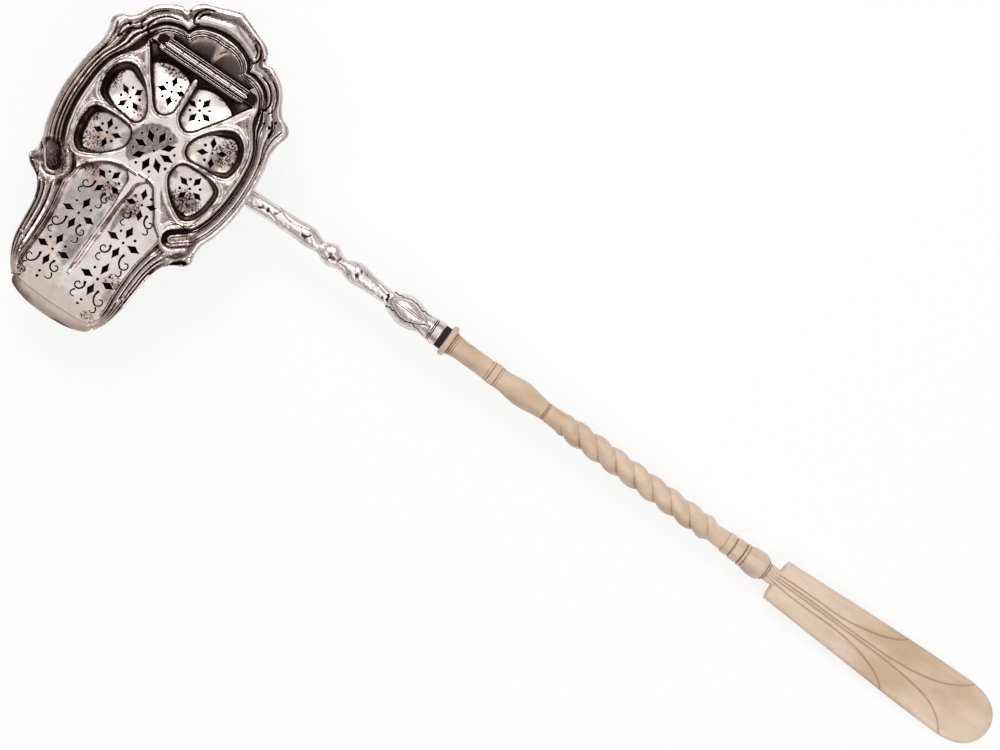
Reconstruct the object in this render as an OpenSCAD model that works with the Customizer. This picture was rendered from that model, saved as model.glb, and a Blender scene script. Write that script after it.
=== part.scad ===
// Strainer ladle: a raised silver bowl under a cast scrolled border, a pierced
// lid on a knuckle hinge, a cast silver stem and a turned and twisted bone handle.
// X runs along the handle, Y to the rear of the bowl, Z up from the flat under the bowl.

/* [Bowl] */
// Width across the scrolled border
border_w = 73.6; // [68:0.2:80]
// Length from the rear scroll to the pouring lip
border_l = 122.9; // [114:0.1:132]
// Height of the seat under border and strainer
bowl_h = 24; // [20:0.5:28]
// Wall of the raised bowl
wall = 0.9; // [0.7:0.05:1.2]
// Reach of the ledge that carries the strainer's sides, from the bowl's wall
ledge_w = 1.5; // [1.2:0.1:1.8]
// Thickness of that ledge
ledge_t = 0.8; // [0.6:0.1:1.2]
// Width of the flat that the bowl stands on
base_w = 24; // [16:1:30]
// Length of that flat
base_l = 20; // [14:1:26]
// Distance of the flat's middle from the rosette, to the rear
base_y = 3; // [-2:0.5:8]
// Height of the cast border's crest over the seat
crest_h = 6; // [4.5:0.25:7.5]
// Thickness of the border's outer edge
border_t = 1.3; // [1:0.1:1.8]
// Radius of the small beads that end the border's scrolls
bead_r = 0.8; // [0.6:0.05:1.1]

/* [Strainer] */
// Thickness of the pierced plate
plate_t = 0.8; // [0.6:0.05:1]
// Depth of the chased lobes under the plate's face
lobe_depth = 3.6; // [2.5:0.1:4.5]
// How far a lobe's wall leans in from rim to floor
lobe_lean = 1.1; // [0.6:0.1:1.6]
// Gap between the plate's edge and the border
side_gap = 0.35; // [0.3:0.05:0.6]
// Gap between the closed plate and its ledge
seat_gap = 0.15; // [0.1:0.05:0.4]
// Diameter of the round holes
dot_d = 0.95; // [0.7:0.05:1.2]
// Length of the diamond holes
diamond_l = 3.8; // [3:0.1:4.2]
// Width of the diamond holes
diamond_w = 1.9; // [1.2:0.1:2.2]
// Width of the curled cuts between the front flowers
curl_w = 0.35; // [0.25:0.05:0.5]
// How far the chased work lies off the plate's middle line
chase_shift = 0.6; // [0:0.1:1]

/* [Hinge] */
// Length of the row of knuckles
hinge_l = 32.5; // [28:0.5:34]
// Number of knuckles
knuckles = 5; // [3:2:7]
// Outer diameter of a knuckle
barrel_d = 1.9; // [1.7:0.1:2.3]
// Diameter of the hinge pin
pin_d = 0.9; // [0.7:0.05:1]
// Distance of the hinge pin from the rosette, to the rear
hinge_y = 31.8; // [31:0.1:32.4]
// Width of each hinge leaf
leaf_w = 1.4; // [1.2:0.1:1.6]
// Gap between neighbouring knuckles
knuckle_gap = 0.15; // [0.1:0.05:0.3]

/* [Silver stem] */
// Depth of the stem's middle under the seat where it meets the bowl
stem_drop = 4.4; // [4:0.1:7]
// Distance of the stem from the rosette there, to the rear
stem_y = 4.6; // [2:0.2:7]
// Turn of the handle towards the spout, in degrees
handle_turn = 1.6; // [0:0.1:3]
// Distance of the stem's end at the calyx from the bowl's middle
stem_end = 95; // [90:1:102]
// Radius of the stem between its knots
stem_r = 2.9; // [2.5:0.1:3.2]
// Radius of the foot that is soldered to the bowl
foot_r = 3.4; // [3.2:0.1:4]
// Length of the leaf calyx
calyx_l = 16.5; // [14:0.5:20]
// Largest radius of the calyx
calyx_r = 5; // [4.6:0.1:5.6]
// Length of the plain ferrule
ferrule_l = 5.6; // [4.5:0.1:7]
// Radius of the ferrule
ferrule_r = 4.15; // [3.8:0.05:4.6]
// Thickness of the dark packing ring
packing_l = 1.4; // [1:0.1:2]
// Radius of the dark packing ring
packing_r = 3.85; // [3.4:0.05:4]

/* [Bone handle] */
// Thickness of the flanged collar
collar_l = 3.4; // [2.8:0.1:4.4]
// Radius of the collar's flange
collar_r = 5.7; // [5:0.1:6.2]
// Length of the upper shank with its baluster
shank_l = 39.6; // [34:0.2:46]
// Radius of the shank's plain part
shank_r = 3.65; // [3.4:0.05:4]
// Radius of the shank's baluster
baluster_r = 4.55; // [4.2:0.05:5]
// Length of the twisted shaft with its plain ends
twist_l = 76.4; // [68:0.2:84]
// Radius over the strands of the twist
twist_r = 4.55; // [4.2:0.05:5]
// Depth of the furrows between the strands
furrow = 1.1; // [0.7:0.05:1.4]
// Rise of one strand in a full turn
twist_lead = 15.5; // [13:0.5:19]
// Length of the ringed end baluster
end_l = 18; // [15:0.2:22]
// Largest radius of the end baluster
end_r = 5; // [4.6:0.1:5.6]
// Radius of the plain ends where the bone pieces butt
butt_r = 3.3; // [3.1:0.05:3.4]
// Diameter of the screwed tang and dowels in the handle
dowel_d = 3; // [2.4:0.1:3.4]
// Length of each dowel
dowel_l = 14; // [11:0.5:16]
// Clearance round pins, tang and dowels
fit_gap = 0.05; // [0.03:0.01:0.08]

/* [Paddle] */
// Length of the paddle's neck
neck_l = 4; // [3:0.2:6]
// Length of the blade
blade_l = 92.2; // [84:0.2:100]
// Width of the blade at its shoulders
shoulder_w = 15.8; // [13:0.2:18]
// Largest width of the blade
blade_w = 22.4; // [20:0.2:25]
// Thickness of the blade at its shoulders
blade_t = 5.4; // [4.4:0.1:6]
// Thickness of the blade near its tip
tip_t = 2.8; // [2.2:0.1:3.6]
// Width of the carved grooves
groove_w = 0.7; // [0.5:0.05:1]
// Depth of the carved grooves
groove_d = 0.45; // [0.3:0.05:0.7]

/* [Hidden] */

silver = [0.78, 0.74, 0.72];
bone = [0.86, 0.76, 0.66];
dark = [0.12, 0.09, 0.08];
round_fn = 48;
eps = 0.01;

// Half of the border from the rear peak to the spout's corner, as
// [outer x, outer y, inner x, inner y, share of the width at which the bowl's wall stands]
border_path = [
    [0, 54.6, 0, 41.3, -0.08], [4, 53.2, 3, 41.5, 0.05], [9.2, 51.2, 6.5, 40.7, 0.05],
    [12.4, 50, 8.7, 39.3, 0.05], [14.8, 47.8, 9.9, 37.8, 0.05], [16.2, 44.8, 10.4, 36.6, 0.05],
    [18.7, 44.9, 12.5, 36.8, 0.05], [22, 43.4, 15.5, 36.4, 0.05], [25.2, 41.1, 18.3, 35.2, 0.05],
    [27.5, 38, 20.3, 33.2, 0.06], [29.2, 34.9, 21.6, 31, 0.06], [31.4, 32.5, 22.2, 29.5, 0.06],
    [34.3, 31.2, 22.3, 28, 0.05], [35.9, 28.6, 22.7, 26.4, 0.05], [34.9, 25, 23.7, 24.4, 0.06],
    [34.6, 20.5, 25.8, 21.8, 0.07], [35.6, 15.5, 28.8, 17, 0.09], [36.4, 10, 30.1, 11.5, 0.1],
    [36.8, 4, 30.5, 5, 0.1], [36.7, -2, 30.4, -1, 0.1], [35.9, -8, 29.6, -6.5, 0.1],
    [34.6, -13.5, 28.2, -11.5, 0.1], [32.7, -18.5, 25.5, -16.2, 0.12], [32.4, -22, 21.2, -17.3, 0.28],
    [33.1, -25.2, 18.5, -20.2, 0.38], [31.6, -27.6, 18.9, -23.8, 0.3], [28.9, -29, 19.6, -26.2, 0.16],
    [26.9, -30.4, 19.3, -28.4, 0.1], [24.8, -33.4, 18.7, -31.8, 0.1], [23.5, -37.8, 17.8, -37, 0.12],
    [22.9, -44, 17.4, -43.5, 0.12], [22.3, -50, 17.5, -49.6, 0.12], [21, -55.6, 17.6, -55, 0.14],
    [19.2, -60, 16.8, -58.9, 0.16], [17.2, -63.2, 15.2, -61.6, 0.2]];
// The pouring lip from that corner to the middle
lip_path = [
    [15.8, -64.8, 14.2, -62.3, 0.65], [13.4, -66.2, 12.4, -62.8, 0.74],
    [8, -67.7, 7.6, -63.3, 0.79], [0, -68.3, 0, -63.5, 0.81]];
// Section of the border's face: share of the width from the inner edge, share of the crest's height
border_face = [
    [0, 0.17], [0.06, 0.25], [0.13, 0.2], [0.21, 0.12], [0.31, 0.2], [0.36, 0.5], [0.46, 0.65],
    [0.54, 0.6], [0.63, 0.72], [0.77, 0.91], [0.89, 1], [0.97, 0.95], [1, 0.84]];
// Outlines of the right lobes: rear, upper side and lower side
rear_lobe = [[1, 14.5], [2.6, 11.6], [5.3, 10.4], [8.2, 11.6], [10.3, 15], [13.3, 20], [16.5, 25.2],
             [16.6, 27.3], [14, 28], [8, 28.3], [2.6, 28], [1, 26.6], [0.9, 21]];
upper_lobe = [[8.6, 7.2], [9.4, 4.4], [11.8, 3.1], [17.5, 3.6], [22.8, 4], [25.8, 5.2], [27.2, 8.6],
              [27.3, 12.8], [26, 16.6], [23.4, 19.2], [20, 19.8], [15.8, 17.6], [12.3, 14.2], [9.7, 10.5]];
lower_lobe = [[9, -1], [8.7, -4.5], [10.6, -8], [14.5, -11.8], [19.2, -14.6], [21.8, -15], [24.4, -13],
              [26, -9.6], [26.7, -5], [26.4, -0.9], [24.6, 1.1], [20.5, 1.9], [15, 2], [11, 1.4]];
// Inner edges of the right front channel, from the middle ridge round its head to the border
channel_head = [[1.1, -16], [1.5, -13.4], [3.4, -11], [6.1, -10.3], [9.2, -11.6], [12.2, -15.3],
                [15.4, -19.4], [16.9, -22]];
// Flowers as [x, y, turn, radius of the ring of diamonds]
side_flowers = [[5.8, 19.3, 8, 3.3], [16.9, 9.6, 25, 3.3], [17.1, -4.7, -12, 3.3]];
front_flowers = [[7.2, -18.6, 15, 3.3], [9, -32.8, 0, 3.9], [9, -47.8, 0, 4.1]];
rosette_y = -0.9;
ridge_end = -52;
end_dots = [[8.6, -56.6], [8.4, -58.4]];

full_w = 2 * max([for (p = border_path) p[0]]);
path_rear = border_path[0][1];
path_front = lip_path[len(lip_path) - 1][1];
sx = border_w / full_w;
sy = border_l / (path_rear - path_front);
last = len(border_path) - 1;

function unit(v) = v / norm(v);
function clamp(x, lo, hi) = max(lo, min(hi, x));
function scaled(p) = [p[0] * sx, p[1] * sy];
function mirrored(p) = [-p[0], p[1]];
function flip(p) = [-p[0], p[1], -p[2], p[3], p[4]];
// Smooth curve through four neighbours, from the second to the third
function curve(a, b, c, d, t) =
    0.5 * ((2 * b) + (c - a) * t + (2 * a - 5 * b + 4 * c - d) * t * t + (3 * b - a - 3 * c + d) * t * t * t);
function smooth_open(p, n) = let (m = len(p))
    concat([for (i = [0:m - 2]) for (k = [0:n - 1])
                curve(p[max(i - 1, 0)], p[i], p[i + 1], p[min(i + 2, m - 1)], k / n)], [p[m - 1]]);
function total(v) = v * [for (x = v) 1];
function reversed(p) = [for (i = [len(p) - 1:-1:0]) p[i]];

// A closed skin over rows of points, each row a ring of the same count, capped from its middle
module skin(rows) {
    n = len(rows[0]);
    m = len(rows);
    mid = function(r) [for (k = [0:2]) total([for (p = r) p[k]]) / n];
    polyhedron(
        points = concat([for (r = rows) each r], [mid(rows[0]), mid(rows[m - 1])]),
        faces = concat(
            [for (i = [0:n - 1]) [m * n, i, (i + 1) % n]],
            [for (j = [0:m - 2]) for (i = [0:n - 1])
                let (a = j * n + i, b = j * n + (i + 1) % n) each [[a, b + n, b], [a, a + n, b + n]]],
            [for (i = [0:n - 1]) [m * n + 1, (m - 1) * n + (i + 1) % n, (m - 1) * n + i]]),
        convexity = 10);
}

// Bowl
lip_z = bowl_h - lobe_depth;
half_path = concat(border_path, lip_path);
half_n = len(half_path);
ring_path = concat(half_path, [for (i = [half_n - 2:-1:1]) flip(half_path[i])]);
function station_inner(s) = scaled([s[2], s[3]]);
function station_outer(s) = scaled([s[0], s[1]]);
function station_w(s) = norm(station_outer(s) - station_inner(s));
function at(s, d) = station_inner(s) + unit(station_outer(s) - station_inner(s)) * d;
function wall_d(s) = s[4] * station_w(s);
function on_lip(s) = s[1] < border_path[last][1] - eps;
// The seat is level, and drops to the lip past the end of the border
function seat_z(s) = on_lip(s) ? lip_z : bowl_h;
// The ledge is widest under the hinge and a mere edge behind it and along the spout
hinge_zone = [31.5, 36];
spout_y = -17;
function ledge_d(s) = on_lip(s) ? wall_d(s) + ledge_w
    : s[3] > hinge_zone[0] && s[3] < hinge_zone[1] ? 1.5 * ledge_w
    : s[3] < hinge_zone[0] && s[3] > spout_y ? ledge_w : wall / 2;
// 1 where the wall is full and round, near 0 along the spout
function fullness(y) = clamp((y + 36) / 40, 0.12, 1);
function base_point(p, grow) = let (a = atan2(p[1] - base_y, p[0]))
    [(base_w / 2 + grow) * cos(a), base_y + (base_l / 2 + grow) * sin(a)];
function level(y, t) = let (f = fullness(y)) f * (1 - cos(t)) + (1 - f) * pow(sin(t), 1.35);
// The wall curves up to this height and then stands upright
upright = 0.6;
wall_top = bowl_h - lobe_depth - ledge_t - upright;
wall_steps = 7;
function wall_row(k, d, z0) = [for (s = ring_path)
    let (p = at(s, wall_d(s) + d), b = base_point(p, d / 2))
    let (t = 90 * k / wall_steps, q = b + (p - b) * sin(t))
        [q[0], q[1], z0 + (wall_top - z0) * level(s[3], t)]];
function seat_row(d, ledge, drop) = [for (s = ring_path)
    let (p = at(s, wall_d(s) + d - ledge * ledge_d(s))) [p[0], p[1], seat_z(s) - drop]];
outer_rows = concat([for (k = [0:wall_steps]) wall_row(k, wall, 0)], [seat_row(wall, 0, 0)]);
inner_rows = concat([seat_row(0, 0, ledge_t)], [for (k = [wall_steps:-1:0]) wall_row(k, 0, wall)]);
ledge_rows = [seat_row(0, 1, 0), seat_row(0, 1, ledge_t)];

module bowl_shell() {
    color(silver) skin([for (r = concat(outer_rows, ledge_rows, inner_rows)) reversed(r)]);
}

// Border
border_steps = 2;
half_border = smooth_open(border_path, border_steps);
border_ring = concat([for (i = [len(half_border) - 1:-1:1]) flip(half_border[i])], half_border);
// The crest sinks a little along the spout
function crest(s) = crest_h * (1 - 0.4 * clamp((-24 - s[3]) / 36, 0, 1));
// Its grooves run out into a plain arch at the two ends
function ending(s) = let (from = border_path[last - 1][3], to = border_path[last][3])
    clamp((from - s[3]) / (from - to), 0, 1);
function plain_arch(share) = 0.25 + 0.6 * sin(150 * share);
function border_section(s) =
    let (w = station_w(s), c = crest(s), d = min(wall_d(s) + 1.4 * wall, 0.75 * w), e = ending(s))
    [for (p = concat([for (f = border_face) [f[0] * w, c * ((1 - e) * f[1] + e * plain_arch(f[0]))]],
                     [[0.985 * w, 0.84 * c - border_t], [0.62 * w, max(0.72 * c - 1.6 * border_t, c / 8)],
                      [max(d, 0.1 * w), 0], [0, 0]]))
        let (q = at(s, p[0])) [q[0], q[1], bowl_h + p[1]]];

module rim_border() {
    color(silver) skin([for (s = border_ring) reversed(border_section(s))]);
}

bead_station = border_path[last - 3];
module border_beads() {
    p = at(bead_station, 0.42 * station_w(bead_station));
    z = bowl_h + 0.66 * crest(bead_station) + bead_r;
    color(silver) for (side = [-1, 1]) translate([side * p[0], p[1], z]) sphere(r = bead_r, $fn = round_fn);
}

// Strainer
plate_z = bowl_h + seat_gap;
plate_top = plate_z + plate_t;
floor_top = plate_top - lobe_depth;
barrel_r = barrel_d / 2;
axis_y = hinge_y * sy;
axis_z = plate_top + barrel_r;
leaf_gap = 0.2;
plate_rear = axis_y - barrel_r - leaf_gap;
half_edge = [for (s = smooth_open(half_path, border_steps))
    if (station_inner(s)[1] < plate_rear - 0.2) at(s, -side_gap)];
plate_corner = [half_edge[0][0] - 0.1, plate_rear];
plate_outline = concat([plate_corner], half_edge, reversed([for (p = half_edge) if (p[0] > eps) mirrored(p)]),
                       [mirrored(plate_corner)]);
channel_edge = [for (s = smooth_open(half_path, border_steps))
    if (s[3] < -24.5 && s[3] > border_path[last][3]) at(s, -side_gap - 1.4 * plate_t)];
channel_end_x = channel_edge[len(channel_edge) - 1][0];
channel = concat([for (p = channel_head) scaled(p)], channel_edge,
                 [[channel_end_x, ridge_end * sy], [scaled(channel_head[0])[0], ridge_end * sy]]);

module chased() translate([chase_shift, 0]) children();

// A dish with leaning walls: the outline at the top, drawn in by lean at the bottom
module dish(outline, top, depth, lean, grow) {
    n = len(outline);
    mid = [for (k = [0, 1]) let (v = [for (p = outline) p[k]]) (min(v) + max(v)) / 2];
    half = [for (k = [0, 1]) let (v = [for (p = outline) p[k]]) (max(v) - min(v)) / 2];
    function spread(p, g) = [for (k = [0, 1]) mid[k] + (p[k] - mid[k]) * (half[k] + g) / half[k]];
    skin([for (r = [[top - depth, grow - lean], [top, grow]])
        [for (i = [0:n - 1]) let (q = spread(outline[i], r[1])) [q[0], q[1], r[0]]]]);
}

side_lobes = [for (l = [rear_lobe, upper_lobe, lower_lobe]) [for (p = l) scaled(p)]];
tuck = plate_t / 4;
module lobe_dishes(top, depth, lean, grow) for (side = [-1, 1]) for (l = side_lobes)
    dish([for (p = (side > 0 ? l : reversed(l))) [side * p[0] + chase_shift, p[1]]], top, depth, lean, grow);

module channel_2d() for (side = [-1, 1])
    polygon([for (p = channel) [side * p[0] + (abs(p[0]) < 8 * sx ? chase_shift : 0), p[1]]]);
module apron_2d() polygon([for (p = [[-1, 0], [-1, -1], [1, -1], [1, 0]])
    [p[0] * channel_end_x, ridge_end * sy + p[1] * border_l / 4]]);
tray_edge = [for (s = smooth_open(half_path, border_steps))
    if (s[3] < -23 && (s[3] > border_path[last - 1][3] || s[3] < lip_path[0][3] - 0.3))
        at(s, -side_gap - tuck)];
tray_half = concat([for (p = channel_head) if (p[0] < 14) [scaled(p)[0], scaled(p)[1] + plate_t]], tray_edge);
module front_tray_2d() polygon(concat(tray_half, reversed([for (p = tray_half) mirrored(p)])));

module diamond() polygon([[-diamond_l / 2, 0], [0, -diamond_w / 2], [diamond_l / 2, 0], [0, diamond_w / 2]]);
module dot() circle(d = dot_d, $fn = 16);
module flower(f) translate([f[0] * sx, f[1] * sy]) rotate(f[2]) {
    dot();
    for (a = [0:90:270]) rotate(a) {
        translate([f[3] * sx, 0]) diamond();
        rotate(45) translate([f[3] * 1.05 * sx, 0]) dot();
    }
}
module rosette() translate([0, rosette_y * sy]) {
    dot();
    for (a = [0:45:315]) rotate(a) {
        translate([5.3 * sx, 0]) diamond();
        rotate(22.5) translate([7 * sx, 0]) dot();
    }
}
// An arc cut of width w
module arc_cut(r, from, to) polygon(concat(
    [for (i = [0:6]) let (a = from + (to - from) * i / 6) (r + curl_w / 2) * [cos(a), sin(a)]],
    [for (i = [6:-1:0]) let (a = from + (to - from) * i / 6) (r - curl_w / 2) * [cos(a), sin(a)]]));
// A curled cut: a round head, the arc that leaves it and a hook below
curl_r = 1.9 * sx;
hook_r = 1.75 * sx;
hook_at = [-2.9, -3.9] * sx;
curl_at = [2.6, -3.6] * sx;
module curl() {
    dot();
    translate([-curl_r, -0.1 * curl_r]) arc_cut(curl_r, -105, -8);
    translate(hook_at) arc_cut(hook_r, 60, 160);
}
module curls(f) translate([f[0] * sx, f[1] * sy]) for (side = [0, 1]) mirror([side, 0])
    translate(curl_at) mirror([1, 0]) curl();
module piercing_2d() chased() {
    rosette();
    for (side = [0, 1]) mirror([side, 0]) {
        for (f = concat(side_flowers, front_flowers)) flower(f);
        for (f = front_flowers) curls(f);
        for (p = end_dots) translate(scaled(p)) dot();
    }
}

module strainer_plate() {
    color(silver) difference() {
        union() {
            translate([0, 0, plate_z]) linear_extrude(plate_t) polygon(plate_outline);
            lobe_dishes(plate_top - tuck, lobe_depth + plate_t - tuck, lobe_lean, plate_t);
            translate([0, 0, floor_top - plate_t]) linear_extrude(lobe_depth + plate_t / 2) front_tray_2d();
        }
        lobe_dishes(plate_top + tuck, lobe_depth + tuck, lobe_lean, 0);
        translate([0, 0, floor_top]) linear_extrude(lobe_depth + plate_t) {
            channel_2d();
            apron_2d();
        }
        translate([0, 0, floor_top - 2 * plate_t]) linear_extrude(lobe_depth + 4 * plate_t) piercing_2d();
    }
}

// Hinge: odd knuckles belong to the strainer, even ones to the bridge
knuckle_l = hinge_l / knuckles;
module along_hinge(x, l, r) translate([x, axis_y, axis_z])
    rotate([0, 90, 0]) cylinder(r = r, h = l, $fn = round_fn);
function knuckle_x(i) = -hinge_l / 2 + i * knuckle_l + knuckle_gap / 2;
module knuckle(i) along_hinge(knuckle_x(i), knuckle_l - knuckle_gap, barrel_r);
module leaf_bore() along_hinge(-hinge_l, 2 * hinge_l, pin_d / 2 + fit_gap);
leaf_t = barrel_r - 0.15;

module knuckle_row(first, side) {
    for (i = [first:2:knuckles - 1]) {
        knuckle(i);
        translate([knuckle_x(i), axis_y + (side > 0 ? 0 : -barrel_r - leaf_gap - eps), plate_top])
            cube([knuckle_l - knuckle_gap, barrel_r + leaf_gap + eps, leaf_t]);
    }
    translate([-hinge_l / 2, axis_y + side * (barrel_r + leaf_gap) - (side > 0 ? 0 : leaf_w), plate_top])
        cube([hinge_l, leaf_w, leaf_t]);
}

module strainer_leaf() {
    color(silver) difference() {
        knuckle_row(0, -1);
        leaf_bore();
    }
}

bridge_y = axis_y + barrel_r + leaf_gap;
bridge_edge = [for (s = half_border) if (s[3] > 30 && s[3] < 36) let (p = at(s, -side_gap)) [p[1], p[0]]];
bridge_end = [for (y = [bridge_y, bridge_y + leaf_w - eps]) [lookup(y, bridge_edge), y]];
module hinge_bridge() {
    color(silver) difference() {
        union() {
            knuckle_row(1, 1);
            translate([0, 0, bowl_h]) linear_extrude(plate_top - bowl_h + eps)
                polygon(concat(bridge_end, reversed([for (p = bridge_end) mirrored(p)])));
        }
        leaf_bore();
    }
}

pin_head = 0.35;
module hinge_pin() {
    color(silver) along_hinge(-hinge_l / 2 - pin_head, hinge_l + 2 * pin_head, pin_d / 2);
}

// Handle: stations along its axis, measured from the middle of the bowl
foot_at = at(border_path[18], wall_d(border_path[18]) + wall)[0];
calyx_end = stem_end + calyx_l;
ferrule_end = calyx_end + ferrule_l;
packing_end = ferrule_end + packing_l;
collar_end = packing_end + collar_l;
shank_end = collar_end + shank_l;
twist_end = shank_end + twist_l;
baluster_end = twist_end + end_l;
blade_at = baluster_end + neck_l;
tip_at = blade_at + blade_l;
low_at = tip_at - 8;
floor_gap = 0.05;
stem_z = bowl_h - stem_drop;
droop = asin((stem_z - tip_t / 2 - floor_gap) / (low_at - foot_at));

module on_handle(h) translate([0, stem_y + foot_at * sin(handle_turn), stem_z + foot_at * sin(droop)])
    rotate([0, droop, -handle_turn]) translate([h, 0, 0]) children();
module turned(h, profile) on_handle(h) rotate([0, 90, 0]) rotate_extrude($fn = round_fn) polygon(profile);
module bore(h, l) on_handle(h) rotate([0, 90, 0]) cylinder(d = dowel_d + 2 * fit_gap, h = l, $fn = round_fn);
module rod(h, l) on_handle(h) rotate([0, 90, 0]) cylinder(d = dowel_d, h = l, $fn = round_fn);

// The body of the bowl without its hollow
module bowl_plug() skin([for (r = outer_rows) reversed(r)]);

// The foot starts inside the bowl's plan, where the bowl's side cuts it off
foot_in = 3.6;
foot_out = 3;
foot_end = foot_at + foot_out;
// Length of its wide part outside the bowl and of the step down, and how far the rest stands over the stem
wide_out = 0.8;
step_l = 0.4;
collar_h = 0.3;
module stem_foot() {
    color(silver) difference() {
        turned(foot_at - foot_in, [[0, 0], [foot_r, 0], [foot_r, foot_in + wide_out],
                                   [stem_r + collar_h, foot_in + wide_out + step_l],
                                   [stem_r + collar_h, foot_in + foot_out], [0, foot_in + foot_out]]);
        bowl_plug();
    }
}

// Knots of the cast stem as [share of its length, swelling, sideways lean, length]
knots = [[0.1, 0.25, 0.1, 0.05], [0.41, 0.85, 0.3, 0.055], [0.585, 1.25, -0.45, 0.04],
         [0.79, 1.1, 0.5, 0.055], [0.99, 0.35, 0, 0.04]];
stem_sides = 14;
stem_rings = 40;
function swell(t, j) = exp(-pow((t - knots[j][0]) / knots[j][3], 2));
function stem_radius(t) = stem_r * (1 - 0.08 * t)
    + total([for (j = [0:len(knots) - 1]) knots[j][1] * swell(t, j)]);
function stem_lean(t) = total([for (j = [0:len(knots) - 1]) knots[j][2] * swell(t, j)]);
module silver_stem() {
    color(silver) on_handle(0) skin([for (k = [0:stem_rings])
        let (t = k / stem_rings, edge = sin(180 * t) > 0.02 ? 1 : 0)
            [for (i = [0:stem_sides - 1])
                let (a = 360 * i / stem_sides, r = stem_radius(t) * (1 + edge * 0.07 * cos(3 * a + 220 * t)))
                    [foot_end + (stem_end - foot_end) * t, edge * stem_lean(t) + r * cos(a), r * sin(a)]]]);
}

calyx_sides = 32;
calyx_rings = 16;
function calyx_radius(t) = stem_r * (1 - t) + ferrule_r * 0.92 * t
    + (calyx_r - (stem_r + ferrule_r) / 2) * pow(sin(180 * pow(t, 0.8)), 1.1);
module leaf_calyx() {
    color(silver) on_handle(0) skin([for (k = [0:calyx_rings]) let (t = k / calyx_rings)
        [for (i = [0:calyx_sides - 1])
            let (a = 360 * i / calyx_sides, dip = 0.12 * sin(180 * t) * pow(abs(sin(2 * a)), 4))
            let (r = calyx_radius(t) * (1 - dip))
                [stem_end + calyx_l * t, r * cos(a), r * sin(a)]]]);
}

tang_in = 15;
line_d = 0.35;
module ferrule() {
    color(silver) difference() {
        turned(calyx_end, [[0, 0], [ferrule_r * 0.92, 0], [ferrule_r, 0.5], [ferrule_r, 1.1],
                           [ferrule_r - line_d, 1.3], [ferrule_r - line_d, 1.6], [ferrule_r, 1.8],
                           [ferrule_r, ferrule_l - 0.6], [ferrule_r - 0.4, ferrule_l], [0, ferrule_l]]);
        bore(calyx_end - ferrule_l, 3 * ferrule_l);
    }
}
module packing_ring() {
    color(dark) difference() {
        turned(ferrule_end, [[0, 0], [packing_r, 0], [packing_r, packing_l], [0, packing_l]]);
        bore(ferrule_end - packing_l, 4 * packing_l);
    }
}
module handle_tang() {
    color(silver) rod(calyx_end, collar_end + tang_in - calyx_end);
}

module bone_collar() {
    color(bone) difference() {
        turned(packing_end, [[0, 0], [collar_r - 0.5, 0], [collar_r, 0.5], [collar_r, collar_l * 0.5],
                             [collar_r - 0.9, collar_l * 0.68], [shank_r + 0.5, collar_l * 0.72],
                             [shank_r + 0.5, collar_l], [0, collar_l]]);
        bore(packing_end - collar_l, 4 * collar_l);
    }
}

band_at = 0.4;
band_l = 3.2;
function bulge(r0, r1, z0, z1, n) = [for (i = [1:n - 1]) let (t = i / n)
    [r0 + (r1 - r0) * pow(sin(180 * pow(t, 1.15)), 1.3), z0 + (z1 - z0) * t]];
module upper_shank() {
    b = shank_l * band_at;
    color(bone) difference() {
        turned(collar_end, concat(
            [[0, 0], [shank_r + 0.4, 0], [shank_r + 0.2, 1], [shank_r, 3], [shank_r, b - 0.8],
             [shank_r + 0.3, b], [shank_r + 0.3 - line_d, b + 0.2], [shank_r + 0.35, b + 0.4],
             [shank_r + 0.35, b + band_l - 0.4], [shank_r + 0.35 - line_d, b + band_l - 0.2],
             [shank_r + 0.3, b + band_l]],
            bulge(shank_r + 0.1, baluster_r, b + band_l, shank_l - 0.6, 9),
            [[butt_r, shank_l - 0.5], [butt_r, shank_l], [0, shank_l]]));
        bore(collar_end - tang_in, 2 * tang_in + fit_gap);
        bore(shank_end - dowel_l / 2 - fit_gap, dowel_l);
    }
}
module upper_dowel() {
    color(bone) rod(shank_end - dowel_l / 2, dowel_l);
}

twist_head = 4.6;
twist_foot = 6;
strands = 2;
twist_sides = 24;
twist_pitch = 24;
twist_run = twist_l - twist_head - twist_foot;
twist_rings = ceil(twist_run / twist_lead * twist_pitch);
function strand_r(a) = twist_r - furrow * pow(1 - abs(cos(strands * a / 2)), 1.2);
// The plain ends as [distance, radius]: a fine ring at the head, a slow swelling at the foot
head_profile = [[0, 0.1], [0.8, 0.1], [1, -0.1], [1.3, 0.1], [2.6, 0]];
foot_profile = [[2.2, 0], [4.5, 0.2], [6, 0.3]];
module twist_shaft() {
    turn = 360 / twist_sides;
    ring = function(h, r) [for (i = [0:twist_sides - 1]) [h, r * cos(i * turn), r * sin(i * turn)]];
    color(bone) difference() {
        on_handle(shank_end) skin(concat(
            [for (p = head_profile) ring(p[0], butt_r + p[1])],
            [for (k = [0:twist_rings])
                let (h = twist_run * k / twist_rings, ease = clamp(min(h, twist_run - h) / 3, 0, 1))
                    [for (i = [0:twist_sides - 1])
                        let (a = i * turn, r = butt_r + (strand_r(a - 360 * h / twist_lead) - butt_r) * ease)
                            [twist_head + h, r * cos(a), r * sin(a)]]],
            [for (p = foot_profile) ring(twist_l - twist_foot + p[0], butt_r + p[1])]));
        bore(shank_end - dowel_l / 2, dowel_l + fit_gap);
        bore(twist_end - dowel_l / 2 - fit_gap, dowel_l);
    }
}
module lower_dowel() {
    color(bone) rod(twist_end - dowel_l / 2, dowel_l);
}

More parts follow.
